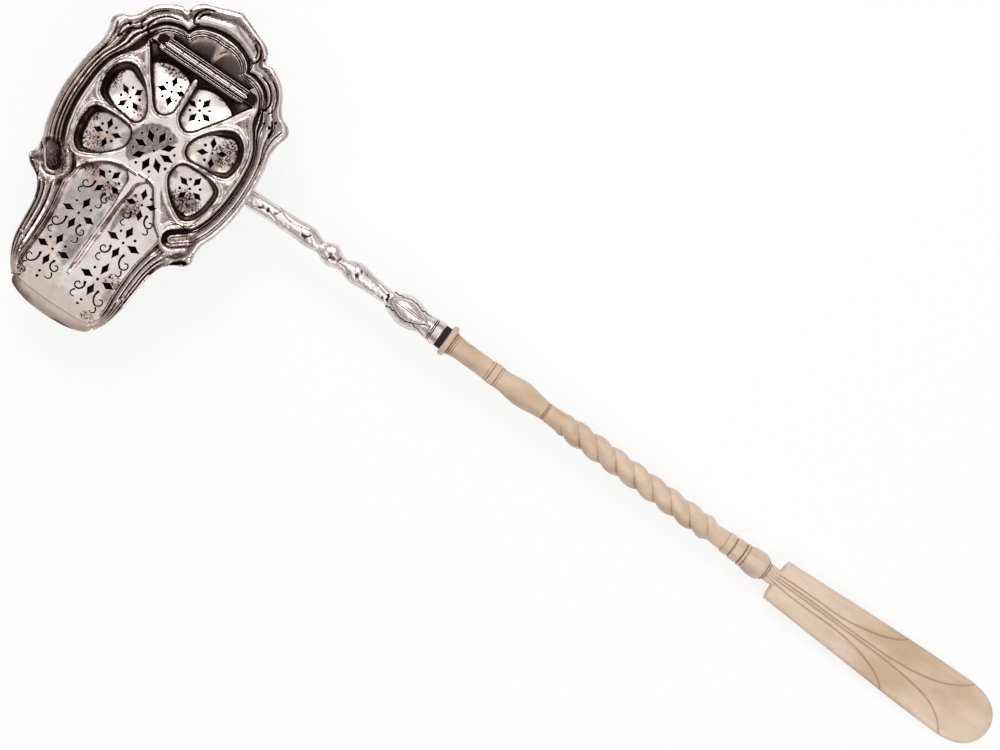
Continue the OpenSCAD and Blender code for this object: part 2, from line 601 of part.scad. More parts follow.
// Rings of the end baluster as [share of its length, extra radius]
end_profile = [[0, 0.5], [0.02, 0.65], [0.17, 0.65], [0.19, 0.35], [0.21, 0.75], [0.4, 0.85], [0.42, 0.55],
               [0.44, 1.15], [0.47, 1.15], [0.49, 0.9]];
module end_baluster() {
    color(bone) difference() {
        turned(twist_end, concat([[0, 0]], [for (p = end_profile) [butt_r + p[1], p[0] * end_l]],
            [for (t = [1/8:1/8:1])
                [butt_r + 0.9 + (end_r - butt_r - 0.9) * sin(90 * t), (0.49 + 0.25 * t) * end_l]],
            [for (t = [1/8:1/8:1]) [butt_r + (end_r - butt_r) * cos(90 * t), (0.74 + 0.24 * t) * end_l]],
            [[butt_r, end_l], [0, end_l]]));
        bore(twist_end - dowel_l / 2, dowel_l + fit_gap);
        bore(baluster_end - dowel_l / 2 - fit_gap, dowel_l);
    }
}
module paddle_dowel() {
    color(bone) rod(baluster_end - dowel_l / 2, dowel_l);
}

// Half widths of the blade as [share of its length, share of the width gained from shoulder to widest]
blade_sides = [[0, 0], [0.15, 0.2], [0.34, 0.45], [0.53, 0.72], [0.7, 0.95], [0.79, 1], [0.84, 0.93]];
tip_round = 9;
function blade_half(s) = (shoulder_w + (blade_w - shoulder_w) * s) / 2;
blade_edge = concat([for (p = smooth_open(blade_sides, 2)) [p[0] * blade_l, blade_half(p[1])]],
    [for (i = [1:tip_round - 1]) let (a = 90 * i / tip_round)
        [blade_l * (0.84 + 0.16 * pow(sin(a), 0.9)), blade_half(0.93) * pow(cos(a), 0.85)]], [[blade_l, 0]]);
// A carved line as a thin strip along y = start + rise * t^bend
module groove(from, to, start, finish, bend, side) {
    n = 14;
    w = groove_w / 2;
    line = [for (i = [0:n]) let (t = i / n)
        [from + (to - from) * t, side * (start + (finish - start) * pow(t, bend))]];
    polygon(concat([for (p = line) p - [0, w]], reversed([for (p = line) p + [0, w]])));
}
module paddle() {
    h = neck_l + blade_l;
    color(bone) difference() {
        union() {
            turned(baluster_end, [[0, 0], [butt_r - 0.1, 0], [butt_r - 0.1, neck_l / 2],
                                  [butt_r - 0.2, neck_l + 1], [0, neck_l + 1]]);
            on_handle(blade_at) intersection() {
                translate([0, 0, -blade_t]) linear_extrude(2 * blade_t)
                    polygon(concat(blade_edge, reversed([for (p = blade_edge) if (p[1] > 0) [p[0], -p[1]]])));
                rotate([90, 0, 0]) translate([0, 0, -blade_w]) linear_extrude(2 * blade_w)
                    polygon([[0, -blade_t / 2 + 0.5], [0.6, -blade_t / 2], [low_at - blade_at, -tip_t / 2],
                             [blade_l, -tip_t / 4], [blade_l, tip_t / 5], [low_at - blade_at, tip_t / 2],
                             [0.6, blade_t / 2], [0, blade_t / 2 - 0.5]]);
            }
        }
        bore(baluster_end - dowel_l / 2, dowel_l + fit_gap);
        on_handle(blade_at) for (side = [-1, 1]) {
            // The cut follows the falling face in a few steps of its taper
            rotate([0, atan((blade_t - tip_t) / 2 / (low_at - blade_at)), 0])
                translate([0, 0, blade_t / 2 - groove_d]) linear_extrude(blade_t) {
                    groove(1, 0.86 * blade_l, groove_w, blade_w / 2 + groove_w, 6, side);
                    groove(1, 0.56 * blade_l, 0.09 * blade_w + groove_w, blade_half(0.76) + groove_w, 3.5,
                           side);
                }
        }
    }
}

bowl_shell();
rim_border();
border_beads();
hinge_bridge();
hinge_pin();
strainer_plate();
strainer_leaf();
stem_foot();
silver_stem();
leaf_calyx();
ferrule();
packing_ring();
handle_tang();
bone_collar();
upper_shank();
upper_dowel();
twist_shaft();
lower_dowel();
end_baluster();
paddle_dowel();
paddle();
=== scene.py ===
import math
import bpy
import numpy as np
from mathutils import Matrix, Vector


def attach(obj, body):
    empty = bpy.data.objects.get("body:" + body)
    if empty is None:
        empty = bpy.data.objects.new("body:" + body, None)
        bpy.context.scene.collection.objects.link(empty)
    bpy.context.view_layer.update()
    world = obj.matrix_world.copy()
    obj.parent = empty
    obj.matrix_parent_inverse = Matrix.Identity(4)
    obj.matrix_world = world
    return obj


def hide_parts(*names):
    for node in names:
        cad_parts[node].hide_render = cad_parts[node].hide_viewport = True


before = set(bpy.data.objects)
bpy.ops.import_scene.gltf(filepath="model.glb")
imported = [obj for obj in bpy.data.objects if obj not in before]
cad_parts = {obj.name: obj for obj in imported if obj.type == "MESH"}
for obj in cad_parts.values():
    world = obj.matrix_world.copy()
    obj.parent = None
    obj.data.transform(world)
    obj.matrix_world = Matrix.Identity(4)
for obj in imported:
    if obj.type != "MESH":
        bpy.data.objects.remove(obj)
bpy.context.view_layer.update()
print("frame loaded")

# one seed for all the small hand-made unevenness
rng = np.random.default_rng(11)


# shared helpers, all lengths in millimetres until a mesh is made

# smooth curve through the rows of p: each span is the cubic that passes through its two ends
# with the slope of their neighbours, sampled n times
def smoothPath(p, n):
    p = np.asarray(p, float)
    m = len(p)
    i = np.repeat(np.arange(m - 1), n)
    t = np.tile(np.arange(n) / n, m - 1)[:, None]
    a, b, c, d = p[np.maximum(i - 1, 0)], p[i], p[i + 1], p[np.minimum(i + 2, m - 1)]
    q = 0.5 * (2 * b + (c - a) * t + (2 * a - 5 * b + 4 * c - d) * t ** 2 + (3 * b - a - 3 * c + d) * t ** 3)
    return np.vstack([q, p[-1:]])


# the same through a closed outline
def smoothRing(p, n):
    p = np.asarray(p, float)
    q = np.vstack([p[-2:], p, p[:3]])
    return smoothPath(q, n)[2 * n:(2 + len(p)) * n]


# 0 before a, 1 after b, with a soft start and end: 3t^2 - 2t^3
def ease(x, a, b):
    t = np.clip((x - a) / (b - a), 0, 1)
    return t * t * (3 - 2 * t)


# a bell of height 1 and half width w round m
def bell(x, m, w):
    return np.exp(-((x - m) / w) ** 2)


# shortest distance from the points (x, y) to a line through the rows of p
def lineDistance(x, y, p):
    best = np.full(x.shape, 1e9)
    for a, b in zip(p[:-1], p[1:]):
        d = b - a
        t = np.clip(((x - a[0]) * d[0] + (y - a[1]) * d[1]) / max(d @ d, 1e-9), 0, 1)
        best = np.minimum(best, (x - a[0] - t * d[0]) ** 2 + (y - a[1] - t * d[1]) ** 2)
    return np.sqrt(best)


# distance to the closed outline p, positive inside it
def insideDistance(x, y, p):
    q = np.vstack([p, p[:1]])
    odd = np.zeros(x.shape, bool)
    for a, b in zip(q[:-1], q[1:]):
        cross = (a[1] > y) != (b[1] > y)
        odd ^= cross & (x < (b[0] - a[0]) * (y - a[1]) / ((b[1] - a[1]) or 1e-9) + a[0])
    return np.where(odd, 1, -1) * lineDistance(x, y, q)


# a moving average along one axis, used to find what lies lower than its surroundings
def blurred(h, n, axis, wrap=False):
    k = np.arange(-n, n + 1)
    size = h.shape[axis]
    pick = lambda i: np.take(h, (np.arange(size) + i) % size if wrap else np.clip(np.arange(size) + i, 0, size - 1), axis)
    return sum(pick(i) for i in k) / len(k)


# sums of a few sine waves with random direction: soft unevenness of size about 1
def ripple(x, y, length, count=7):
    out = np.zeros(np.broadcast(x, y).shape)
    for k in range(count):
        a, f, ph = rng.uniform(0, 2 * math.pi), rng.uniform(0.6, 1.6) * 2 * math.pi / length, rng.uniform(0, 6.3)
        out = out + np.sin(f * (x * math.cos(a) + y * math.sin(a)) + ph)
    return out / math.sqrt(count)


# a mesh from vertices in mm and faces; attributes are one number a vertex
def makeMesh(name, verts, faces, material, attributes=None, sharpAngle=40):
    mesh = bpy.data.meshes.new(name)
    mesh.from_pydata((np.asarray(verts) * 0.001).tolist(), [], faces)
    mesh.update()
    for key, value in (attributes or {}).items():
        mesh.attributes.new(key, "FLOAT", "POINT").data.foreach_set("value", np.asarray(value, np.float32).ravel())
    mesh.polygons.foreach_set("use_smooth", [True] * len(mesh.polygons))
    mesh.set_sharp_from_angle(angle=math.radians(sharpAngle))
    mesh.materials.append(material)
    ob = bpy.data.objects.new(name, mesh)
    bpy.context.scene.collection.objects.link(ob)
    return ob


# a closed skin over a grid of points (rows, around, 3): quads between neighbouring rings, and a pole at each
# end, or with ring=True the last row joined to the first
def skin(grid, attributes, ring=False):
    rows, cols = grid.shape[:2]
    i, j = np.meshgrid(np.arange(rows if ring else rows - 1), np.arange(cols), indexing="ij")
    near, far = (i % rows) * cols, ((i + 1) % rows) * cols
    k = (j + 1) % cols
    faces = np.stack([near + j, near + k, far + k, far + j], -1).reshape(-1, 4).tolist()
    verts = grid.reshape(-1, 3)
    values = {key: np.broadcast_to(v, (rows, cols)) for key, v in attributes.items()}
    if ring:
        return verts, faces, {key: v.ravel() for key, v in values.items()}
    k = np.arange(cols)
    after = (k + 1) % cols
    last = (rows - 1) * cols
    faces += np.stack([np.full(cols, rows * cols), after, k], -1).tolist()
    faces += np.stack([np.full(cols, rows * cols + 1), last + k, last + after], -1).tolist()
    verts = np.vstack([verts, grid[0].mean(0), grid[-1].mean(0)])
    return verts, faces, {key: np.append(v.ravel(), [v[0].mean(), v[-1].mean()]) for key, v in values.items()}


def skinMesh(name, grid, material, attributes, ring=False, sharpAngle=40):
    verts, faces, values = skin(grid, attributes, ring)
    return makeMesh(name, verts, faces, material, values, sharpAngle)


# several skins as one mesh
def joinSkins(name, parts, material, sharpAngle=40):
    verts, faces, values = [], [], {}
    for v, f, a in parts:
        n = sum(len(w) for w in verts)
        verts.append(v)
        faces += [[n + i for i in face] for face in f]
        for key, value in a.items():
            values.setdefault(key, []).append(value)
    values = {key: np.concatenate(value) for key, value in values.items()}
    return makeMesh(name, np.vstack(verts), faces, material, values, sharpAngle)


def place(ob, body, nodes):
    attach(ob, body)
    if nodes:
        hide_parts(*nodes)


# materials

def newMaterial(name):
    mat = bpy.data.materials.new(name)
    mat.use_nodes = True
    nodes = mat.node_tree.nodes
    nodes.clear()
    out = nodes.new("ShaderNodeOutputMaterial")
    shader = nodes.new("ShaderNodeBsdfPrincipled")
    mat.node_tree.links.new(shader.outputs["BSDF"], out.inputs["Surface"])
    return mat, mat.node_tree, shader


def addNoise(tree, scale, detail, stretch=(1, 1, 1), rough=0.6):
    coords = tree.nodes.new("ShaderNodeTexCoord")
    mapping = tree.nodes.new("ShaderNodeMapping")
    mapping.inputs["Scale"].default_value = stretch
    noise = tree.nodes.new("ShaderNodeTexNoise")
    noise.inputs["Scale"].default_value = scale
    noise.inputs["Detail"].default_value = detail
    noise.inputs["Roughness"].default_value = rough
    tree.links.new(coords.outputs["Object"], mapping.inputs["Vector"])
    tree.links.new(mapping.outputs["Vector"], noise.inputs["Vector"])
    return noise.outputs["Fac"]


def addRamp(tree, source, stops):
    ramp = tree.nodes.new("ShaderNodeValToRGB")
    el = ramp.color_ramp.elements
    while len(el) < len(stops):
        el.new(0.5)
    for e, (pos, value) in zip(el, stops):
        e.position = pos
        e.color = (*value, 1) if isinstance(value, tuple) else (value, value, value, 1)
    tree.links.new(source, ramp.inputs["Fac"])
    return ramp.outputs["Color"]


def addMath(tree, op, a, b, clamp=False):
    node = tree.nodes.new("ShaderNodeMath")
    node.operation = op
    node.use_clamp = clamp
    for socket, value in zip(node.inputs, (a, b)):
        if isinstance(value, (int, float)):
            socket.default_value = value
        else:
            tree.links.new(value, socket)
    return node.outputs[0]


def addMix(tree, factor, a, b):
    node = tree.nodes.new("ShaderNodeMix")
    node.data_type = "RGBA"
    for key, value in (("Factor", factor), ("A", a), ("B", b)):
        socket = next(s for s in node.inputs if s.name == key and (s.type == "VALUE" if key == "Factor" else s.type == "RGBA"))
        if isinstance(value, tuple):
            socket.default_value = (*value, 1)
        elif isinstance(value, (int, float)):
            socket.default_value = value
        else:
            tree.links.new(value, socket)
    return next(s for s in node.outputs if s.type == "RGBA")


def addAttribute(tree, name):
    node = tree.nodes.new("ShaderNodeAttribute")
    node.attribute_name = name
    return node.outputs["Fac"]


def addBump(tree, shader, height, strength, distance, chain=None):
    bump = tree.nodes.new("ShaderNodeBump")
    bump.inputs["Strength"].default_value = strength
    bump.inputs["Distance"].default_value = distance
    tree.links.new(height, bump.inputs["Height"])
    if chain:
        tree.links.new(chain, bump.inputs["Normal"])
    tree.links.new(bump.outputs["Normal"], shader.inputs["Normal"])
    return bump.outputs["Normal"]


# silver: bright, then brown and then black as its shade-and-dirt mark grows. That mark is mostly painted shade where
# the surface lies low, in grooves, on walls turned from the light and inside the bowl, with some tarnish in the
# hollows. On top come a grey painted reflection, a yellow-brown tarnish and a spread of small dark flecks of grime,
# each where its own mark says so
def makeSilver(name, look):
    mat, tree, shader = newMaterial(name)
    greyReflection = addAttribute(tree, "greyReflection")
    tarnish = addAttribute(tree, "tarnish")
    cloud = addNoise(tree, look["cloudScale"], 4, rough=0.65)
    speck = addNoise(tree, look["speckScale"], 3, rough=0.7)
    scratch = addNoise(tree, 900, 2, stretch=(0.08, 1, 1))
    shadeAndDirt = addMath(tree, "ADD", addMath(tree, "MULTIPLY", addAttribute(tree, "paintedShadeAndDirt"), look["shadeAndDirtGain"]),
                   addMath(tree, "MULTIPLY", addMath(tree, "SUBTRACT", speck, 0.5), look["speckGain"]))
    fleck = addRamp(tree, addNoise(tree, look["fleckScale"], 2, rough=0.8), [(0.47, 0.0), (0.6, 1.0)])
    shadeAndDirt = addMath(tree, "ADD", shadeAndDirt, addMath(tree, "MULTIPLY", addAttribute(tree, "grime"), fleck))
    shadeAndDirt = addMath(tree, "ADD", shadeAndDirt, look["dust"], clamp=True)
    warm = addRamp(tree, cloud, [(0.35, 0.0), (0.72, 1.0)])
    colour = addMix(tree, addMath(tree, "MULTIPLY", warm, look["warmth"]), look["bright"], look["stain"])
    colour = addMix(tree, patchy(tree, greyReflection, speck), colour, look["grey"])
    colour = addMix(tree, patchy(tree, tarnish, cloud), colour, look["yellow"])
    colour = addMix(tree, addRamp(tree, shadeAndDirt, [(0.17, 0.0), (0.46, 0.85), (0.6, 1.0)]), colour, look["brown"])
    colour = addMix(tree, addRamp(tree, shadeAndDirt, [(0.48, 0.0), (0.85, 1.0)]), colour, look["black"])
    tree.links.new(colour, shader.inputs["Base Color"])
    tree.links.new(addMath(tree, "SUBTRACT", 1.0, addMath(tree, "MULTIPLY", tarnish, 0.6)), shader.inputs["Metallic"])
    rough = addMath(tree, "ADD", look["rough"], addMath(tree, "MULTIPLY", shadeAndDirt, 0.3))
    rough = addMath(tree, "ADD", rough, addMath(tree, "MULTIPLY", greyReflection, 0.12))
    rough = addMath(tree, "ADD", rough, addMath(tree, "MULTIPLY", addMath(tree, "SUBTRACT", cloud, 0.5), 0.25), clamp=True)
    tree.links.new(rough, shader.inputs["Roughness"])
    normal = addBump(tree, shader, scratch, 0.12, 0.00003)
    addBump(tree, shader, speck, look["pitting"], 0.00008, normal)
    return mat


# an attribute broken up by noise, so that a stain has a ragged edge
def patchy(tree, amount, noise):
    ragged = addMath(tree, "MULTIPLY", addMath(tree, "SUBTRACT", noise, 0.5), 0.7)
    return addMath(tree, "MULTIPLY", addMath(tree, "ADD", ragged, 1.0), amount, clamp=True)


# bone: pale with pinkish clouds, long dark hair-lines along the handle, orange where the 'stain' mark says so: real
# staining, with painted shade in the turned grooves and on the far side
def makeBone(name, look):
    mat, tree, shader = newMaterial(name)
    cloud = addNoise(tree, 55, 4, stretch=(0.5, 1, 1), rough=0.6)
    fibre = addNoise(tree, 420, 3, stretch=(0.07, 1, 1), rough=0.65)
    pore = addNoise(tree, 2200, 1, stretch=(0.25, 1, 1))
    colour = addRamp(tree, cloud, [(0.38, look["pale"]), (0.5, look["pink"]), (0.64, look["tan"])])
    hair = addRamp(tree, fibre, [(0.3, 1.0), (0.44, 0.0)])
    colour = addMix(tree, addMath(tree, "MULTIPLY", hair, 0.22), colour, look["hair"])
    stain = addMath(tree, "ADD", addAttribute(tree, "stain"),
                    addMath(tree, "MULTIPLY", addMath(tree, "SUBTRACT", fibre, 0.5), 0.35), clamp=True)
    colour = addMix(tree, addRamp(tree, stain, [(0.12, 0.0), (0.8, 1.0)]), colour, look["stain"])
    tree.links.new(colour, shader.inputs["Base Color"])
    rough = addMath(tree, "ADD", look["rough"], addMath(tree, "MULTIPLY", fibre, 0.2))
    tree.links.new(rough, shader.inputs["Roughness"])
    shader.inputs["Subsurface Weight"].default_value = 0.15
    shader.inputs["Subsurface Radius"].default_value = (0.0012, 0.0008, 0.0005)
    normal = addBump(tree, shader, fibre, 0.22, 0.00008)
    addBump(tree, shader, pore, 0.12, 0.00003, normal)
    return mat


castLook = {"bright": (0.80, 0.72, 0.70), "stain": (0.58, 0.47, 0.42), "grey": (0.16, 0.145, 0.14),
            "yellow": (0.53, 0.40, 0.335), "brown": (0.16, 0.095, 0.075), "black": (0.016, 0.009, 0.008), "warmth": 0.35,
            "cloudScale": 70, "speckScale": 900, "fleckScale": 1300, "shadeAndDirtGain": 1.0, "speckGain": 0.3, "dust": 0.02, "rough": 0.2,
            "pitting": 0.3}
plateLook = dict(castLook, bright=(0.84, 0.77, 0.75), stain=(0.52, 0.43, 0.385), warmth=0.6, cloudScale=110,
                 rough=0.22, pitting=0.2, speckGain=0.42, dust=0.05)
raisedLook = dict(castLook, bright=(0.78, 0.70, 0.67), stain=(0.56, 0.44, 0.38), warmth=0.6, cloudScale=35, rough=0.3,
                  pitting=0.16, dust=0.04)
stemLook = dict(castLook, bright=(0.89, 0.83, 0.82), stain=(0.70, 0.59, 0.56), warmth=0.6, cloudScale=60, rough=0.36,
                speckScale=1100, speckGain=0.4, pitting=0.4)
boneLook = {"pale": (0.72, 0.575, 0.445), "pink": (0.65, 0.495, 0.37), "tan": (0.55, 0.39, 0.265),
            "hair": (0.42, 0.27, 0.16), "stain": (0.25, 0.12, 0.055), "rough": 0.36}
castSilver = makeSilver("castSilver", castLook)
plateSilver = makeSilver("plateSilver", plateLook)
raisedSilver = makeSilver("raisedSilver", raisedLook)
stemSilver = makeSilver("stemSilver", stemLook)
boneMaterial = makeBone("bone", boneLook)


def makePacking():
    mat, tree, shader = newMaterial("packing")
    fleck = addNoise(tree, 800, 4)
    tree.links.new(addRamp(tree, fleck, [(0.4, (0.008, 0.006, 0.006)), (0.75, (0.06, 0.035, 0.028))]),
                   shader.inputs["Base Color"])
    shader.inputs["Roughness"].default_value = 0.75
    addBump(tree, shader, fleck, 0.5, 0.0001)
    return mat


packingMaterial = makePacking()
print("materials made")


# the bowl's plan: half of the border from the rear peak to the lip, as
# [outer x, outer y, inner x, inner y, share of the width where the bowl's wall stands]
borderPath = np.array([
    [0, 54.6, 0, 41.3, -0.08], [4, 53.2, 3, 41.5, 0.05], [9.2, 51.2, 6.5, 40.7, 0.05],
    [12.4, 50, 8.7, 39.3, 0.05], [14.8, 47.8, 9.9, 37.8, 0.05], [16.2, 44.8, 10.4, 36.6, 0.05],
    [18.7, 44.9, 12.5, 36.8, 0.05], [22, 43.4, 15.5, 36.4, 0.05], [25.2, 41.1, 18.3, 35.2, 0.05],
    [27.5, 38, 20.3, 33.2, 0.06], [29.2, 34.9, 21.6, 31, 0.06], [31.4, 32.5, 22.2, 29.5, 0.06],
    [34.3, 31.2, 22.3, 28, 0.05], [35.9, 28.6, 22.7, 26.4, 0.05], [34.9, 25, 23.7, 24.4, 0.06],
    [34.6, 20.5, 25.8, 21.8, 0.07], [35.6, 15.5, 28.8, 17, 0.09], [36.4, 10, 30.1, 11.5, 0.1],
    [36.8, 4, 30.5, 5, 0.1], [36.7, -2, 30.4, -1, 0.1], [35.9, -8, 29.6, -6.5, 0.1],
    [34.6, -13.5, 28.2, -11.5, 0.1], [32.7, -18.5, 25.5, -16.2, 0.12], [32.4, -22, 21.2, -17.3, 0.28],
    [33.1, -25.2, 18.5, -20.2, 0.38], [31.6, -27.6, 18.9, -23.8, 0.3], [28.9, -29, 19.6, -26.2, 0.16],
    [26.9, -30.4, 19.3, -28.4, 0.1], [24.8, -33.4, 18.7, -31.8, 0.1], [23.5, -37.8, 17.8, -37, 0.12],
    [22.9, -44, 17.4, -43.5, 0.12], [22.3, -50, 17.5, -49.6, 0.12], [21, -55.6, 17.6, -55, 0.14],
    [19.2, -60, 16.8, -58.9, 0.16], [17.2, -63.2, 15.2, -61.6, 0.2]])
lipPath = np.array([[15.8, -64.8, 14.2, -62.3, 0.65], [13.4, -66.2, 12.4, -62.8, 0.74],
                    [8, -67.7, 7.6, -63.3, 0.79], [0, -68.3, 0, -63.5, 0.81]])
seatZ, lipZ, wall, ledgeT = 24.0, 20.4, 0.9, 0.8
wallTop = 19.0


# height of the bowl's top: level, then running down to the lip
def seatHeight(y):
    return seatZ - (seatZ - lipZ) * ease(-y, 50, 63.2)


# inner edge, direction outwards and width of each station
def stationParts(s):
    inner, outer = s[:, 2:4], s[:, 0:2]
    width = np.linalg.norm(outer - inner, axis=1)
    return inner, (outer - inner) / width[:, None], width


def mirroredRing(half):
    back = half[-2:0:-1] * [-1, 1, -1, 1, 1]
    return np.vstack([half, back])


# bowl: rings from the flat under it up the outside, over the top, and down the inside
# a ring at angle t is base + (top - base) sin t, its height mixes 1 - cos t with sin(t)^1.35 towards the spout
bowlSize = {"around": 6, "upSteps": 22, "baseHalf": (12.0, 10.0), "baseY": 3.0, "ridge": 1.7, "ridgeWidth": 1.5,
            "foldX": -1.4, "foldIn": 4.6, "foldWidth": 1.25, "roll": 1.5, "land": 0.85}


# inside, the rear wall slopes in more and carries a sharp fold that runs down from the rim's middle
def makeBowl(size):
    half = np.vstack([smoothPath(borderPath, size["around"])[:-1], smoothPath(np.vstack([borderPath[-1:], lipPath]), size["around"])])
    ring = mirroredRing(half)
    inner, out, width = stationParts(ring)
    share = ring[:, 4] * width
    lip = ring[:, 1] < borderPath[-1, 1] - 0.01
    seat = np.where(lip, lipZ, seatHeight(ring[:, 1]))
    share = np.where(lip, share, share + (width - wall - share) * ease(-ring[:, 1], 58.5, 63.2))
    roll = size["roll"] * np.where(lip, 1, ease(-ring[:, 1], 57, 63.2))
    land = size["land"] * np.where(lip, 1, ease(-ring[:, 1], 62.5, 63.2) * 0.9)
    ledge = np.where(lip, share + 1.5, np.where((ring[:, 3] < 31.5) & (ring[:, 3] > -17), 1.5,
                     np.where((ring[:, 3] >= 31.5) & (ring[:, 3] < 36), 2.25, 0.45)))
    full = np.clip((ring[:, 3] + 36) / 40, 0.12, 1)
    rear = ease(ring[:, 3], 29, 36)
    fold = size["ridge"] * bell(ring[:, 2], 0, size["ridgeWidth"]) * (ring[:, 3] > 30)
    foldIn = size["foldIn"] * bell(ring[:, 2], size["foldX"], size["foldWidth"]) * (ring[:, 3] > 30)

    def wallRow(t, d, z0):
        inside = z0 > 0
        p = inner + out * (share + d)[:, None]
        a = np.arctan2(p[:, 1] - size["baseY"], p[:, 0])
        b = np.stack([(size["baseHalf"][0] + d / 2) * np.cos(a), size["baseY"] + (size["baseHalf"][1] + d / 2) * np.sin(a)], 1)
        q = b + (p - b) * math.sin(t)
        q[:, 1] -= fold * math.sin(t) ** 2 * (1.2 - math.sin(t) * 0.7)
        if inside:
            q[:, 1] -= foldIn * (ease(math.sin(t), 0.6, 0.93) - 0.85 * ease(math.sin(t), 0.955, 1.0))
        climb = full * (1 - math.cos(t)) + (1 - full) * math.sin(t) ** 1.35
        if inside:
            climb = climb + rear * (ease(math.sin(t), 0.3, 1.03) - climb)
        z = z0 + (wallTop - z0) * climb
        return np.column_stack([q, z])

    def topRow(d, z):
        p = inner + out * (share + d)[:, None]
        p[:, 1] -= fold * 0.5
        return np.column_stack([p, z])

    # over the top, f from 0 at the ledge's edge to 1 at the outside. Out of the strainer's edge the lip stands up
    # to the strainer's face, and g goes on from there to the outside: z = seat + land - roll g^2.5
    step = np.clip((ledge - share - 0.08) / (ledge + wall - 0.12), 0.05, 0.9)

    def overRow(g, up=1, down=0.0):
        f = step + (1 - step) * g if up else g * step
        reach = share - ledge + f * (ledge + wall - 0.12)
        rise = up * (land - roll * g ** 2.5)
        return np.column_stack([inner + out * reach[:, None], seat - down + rise])

    steps = np.linspace(0, math.pi / 2, size["upSteps"])
    outside = [wallRow(t, wall, 0.0) for t in steps]
    inside = [wallRow(t, 0.0, wall) for t in steps[::-1]]
    rows = outside + [topRow(wall, seat - 0.35 - roll + land)] + [overRow(g) for g in (1, 0.92, 0.8, 0.65, 0.4, 0.03)]
    rows += [overRow(0.97, 0), overRow(0, 0), overRow(0, 0, ledgeT), topRow(0.0, seat - ledgeT)] + inside
    grid = np.array(rows)[:, ::-1]
    n = len(steps)
    # painted shade by row: light outside and over the top, darker down the inside and darkest deep in the bowl
    deep = np.array([0.12] * n + [0.3] + [0.2, 0.1, 0.02, 0, 0, 0.05, 0.25, 0.3] + [0.34] * (n + 2))[:, None]
    deep[-n:, 0] += 0.45 * ease(np.arange(n), 0.45 * n, 0.75 * n)
    x, y = grid[..., 0], grid[..., 1]
    within = np.arange(len(grid))[:, None] > n + 8
    # painted shade: inside it is dark but for a painted light on the shoulder behind the hinge, and darker again
    # towards the spout under the strainer. The lip's left corner and its edge are painted brown with shade
    shadeAndDirt = deep + 0.08 * ripple(x, y, 9) + within * (0.5 * ease(y, 24, 31) - 0.9 * ease(y, 34.0, 37.2))
    shadeAndDirt = shadeAndDirt + within * 0.45 * ease(-y, 32, 44)
    corner = bell(x, -15.5, 3.6) * bell(y, -64.2, 3) + 0.9 * bell(x, 9, 7) * bell(y, -67.9, 0.8)
    shadeAndDirt = shadeAndDirt + 0.6 * np.clip(corner, 0, 1) + 0.25 * (y < -56) * ease(-x, -4, 14) * ease(-y, 64, 67)
    tarnish = within * (0.3 + 0.4 * ease(y, 28, 36)) + (y < -55) * 0.75 + 0.15 * ripple(x, y, 12)
    ob = skinMesh("bowlShell", grid, raisedSilver, {"paintedShadeAndDirt": shadeAndDirt, "tarnish": np.clip(tarnish, 0, 1)}, sharpAngle=50)
    place(ob, "ladle", ["bowl_shell"])


makeBowl(bowlSize)
print("bowl made")


# border: a section swept round the stations. Height over the seat is crest * face(w), w the share of the width.
# A face is [w, share of the crest's height, painted shade]: the grooves are painted dark as shade, and the left side is
# painted darker than the right one, as the light falls
borderSize = {"along": 10, "across": 80, "crest": 6.0, "edge": 1.3, "steps": 0.78, "stepShare": 0.2}
leftFace = [[0, .12, .4], [.04, .04, .8], [.13, .04, .85], [.18, .1, .7], [.21, .2, .15], [.26, .28, .05], [.29, .3, .7],
            [.34, .42, .7], [.37, .48, .05], [.41, .5, 0], [.44, .44, .65], [.51, .48, .65], [.54, .6, .05], [.6, .72, 0],
            [.64, .7, .1], [.67, .66, .6], [.7, .72, .1], [.75, .92, 0], [.82, 1, 0], [.9, .97, .1], [.96, .88, .2],
            [1, .76, .25]]
rightFace = [[0, .14, .5], [.03, .05, .85], [.1, .06, .8], [.13, .16, .05], [.16, .17, .1], [.18, .1, .85],
             [.23, .2, .6], [.26, .42, 0], [.29, .4, .1], [.31, .38, .75], [.335, .48, .1], [.4, .66, 0], [.5, .74, 0],
             [.57, .72, .05], [.6, .66, .6], [.63, .74, .05], [.72, .9, 0], [.82, 1, 0], [.9, .97, 0], [.96, .9, .05],
             [1, .8, .1]]
rearFace = [[0, .1, .1], [.1, .18, .1], [.2, .3, .05], [.235, .3, .2], [.25, .22, .85], [.33, .2, .95], [.36, .36, .5],
            [.39, .5, 0], [.46, .6, 0], [.55, .62, 0], [.6, .6, .1], [.64, .58, .3], [.7, .6, .35], [.76, .72, .2],
            [.8, .88, 0], [.86, 1, 0], [.94, .97, 0], [1, .86, .1]]
rearRight = rearFace[:10] + [[.6, .66, .05], [.66, .7, .1], [.72, .72, .3], [.77, .76, .35], [.81, .88, .05], [.87, 1, 0],
                              [.94, .97, 0], [1, .86, .1]]
spoutFace = [[0, .25, .6], [.06, .3, .2], [.12, .42, 0], [.25, .5, 0], [.31, .45, .1], [.34, .4, .8], [.38, .44, .7],
             [.42, .55, 0], [.5, .68, 0], [.58, .7, .05], [.62, .64, .75], [.66, .66, .6], [.7, .78, 0], [.75, .84, 0],
             [.79, .8, .1], [.82, .72, .65], [.87, .7, .55], [.91, .8, .05], [.97, .78, .1], [1, .7, .2]]
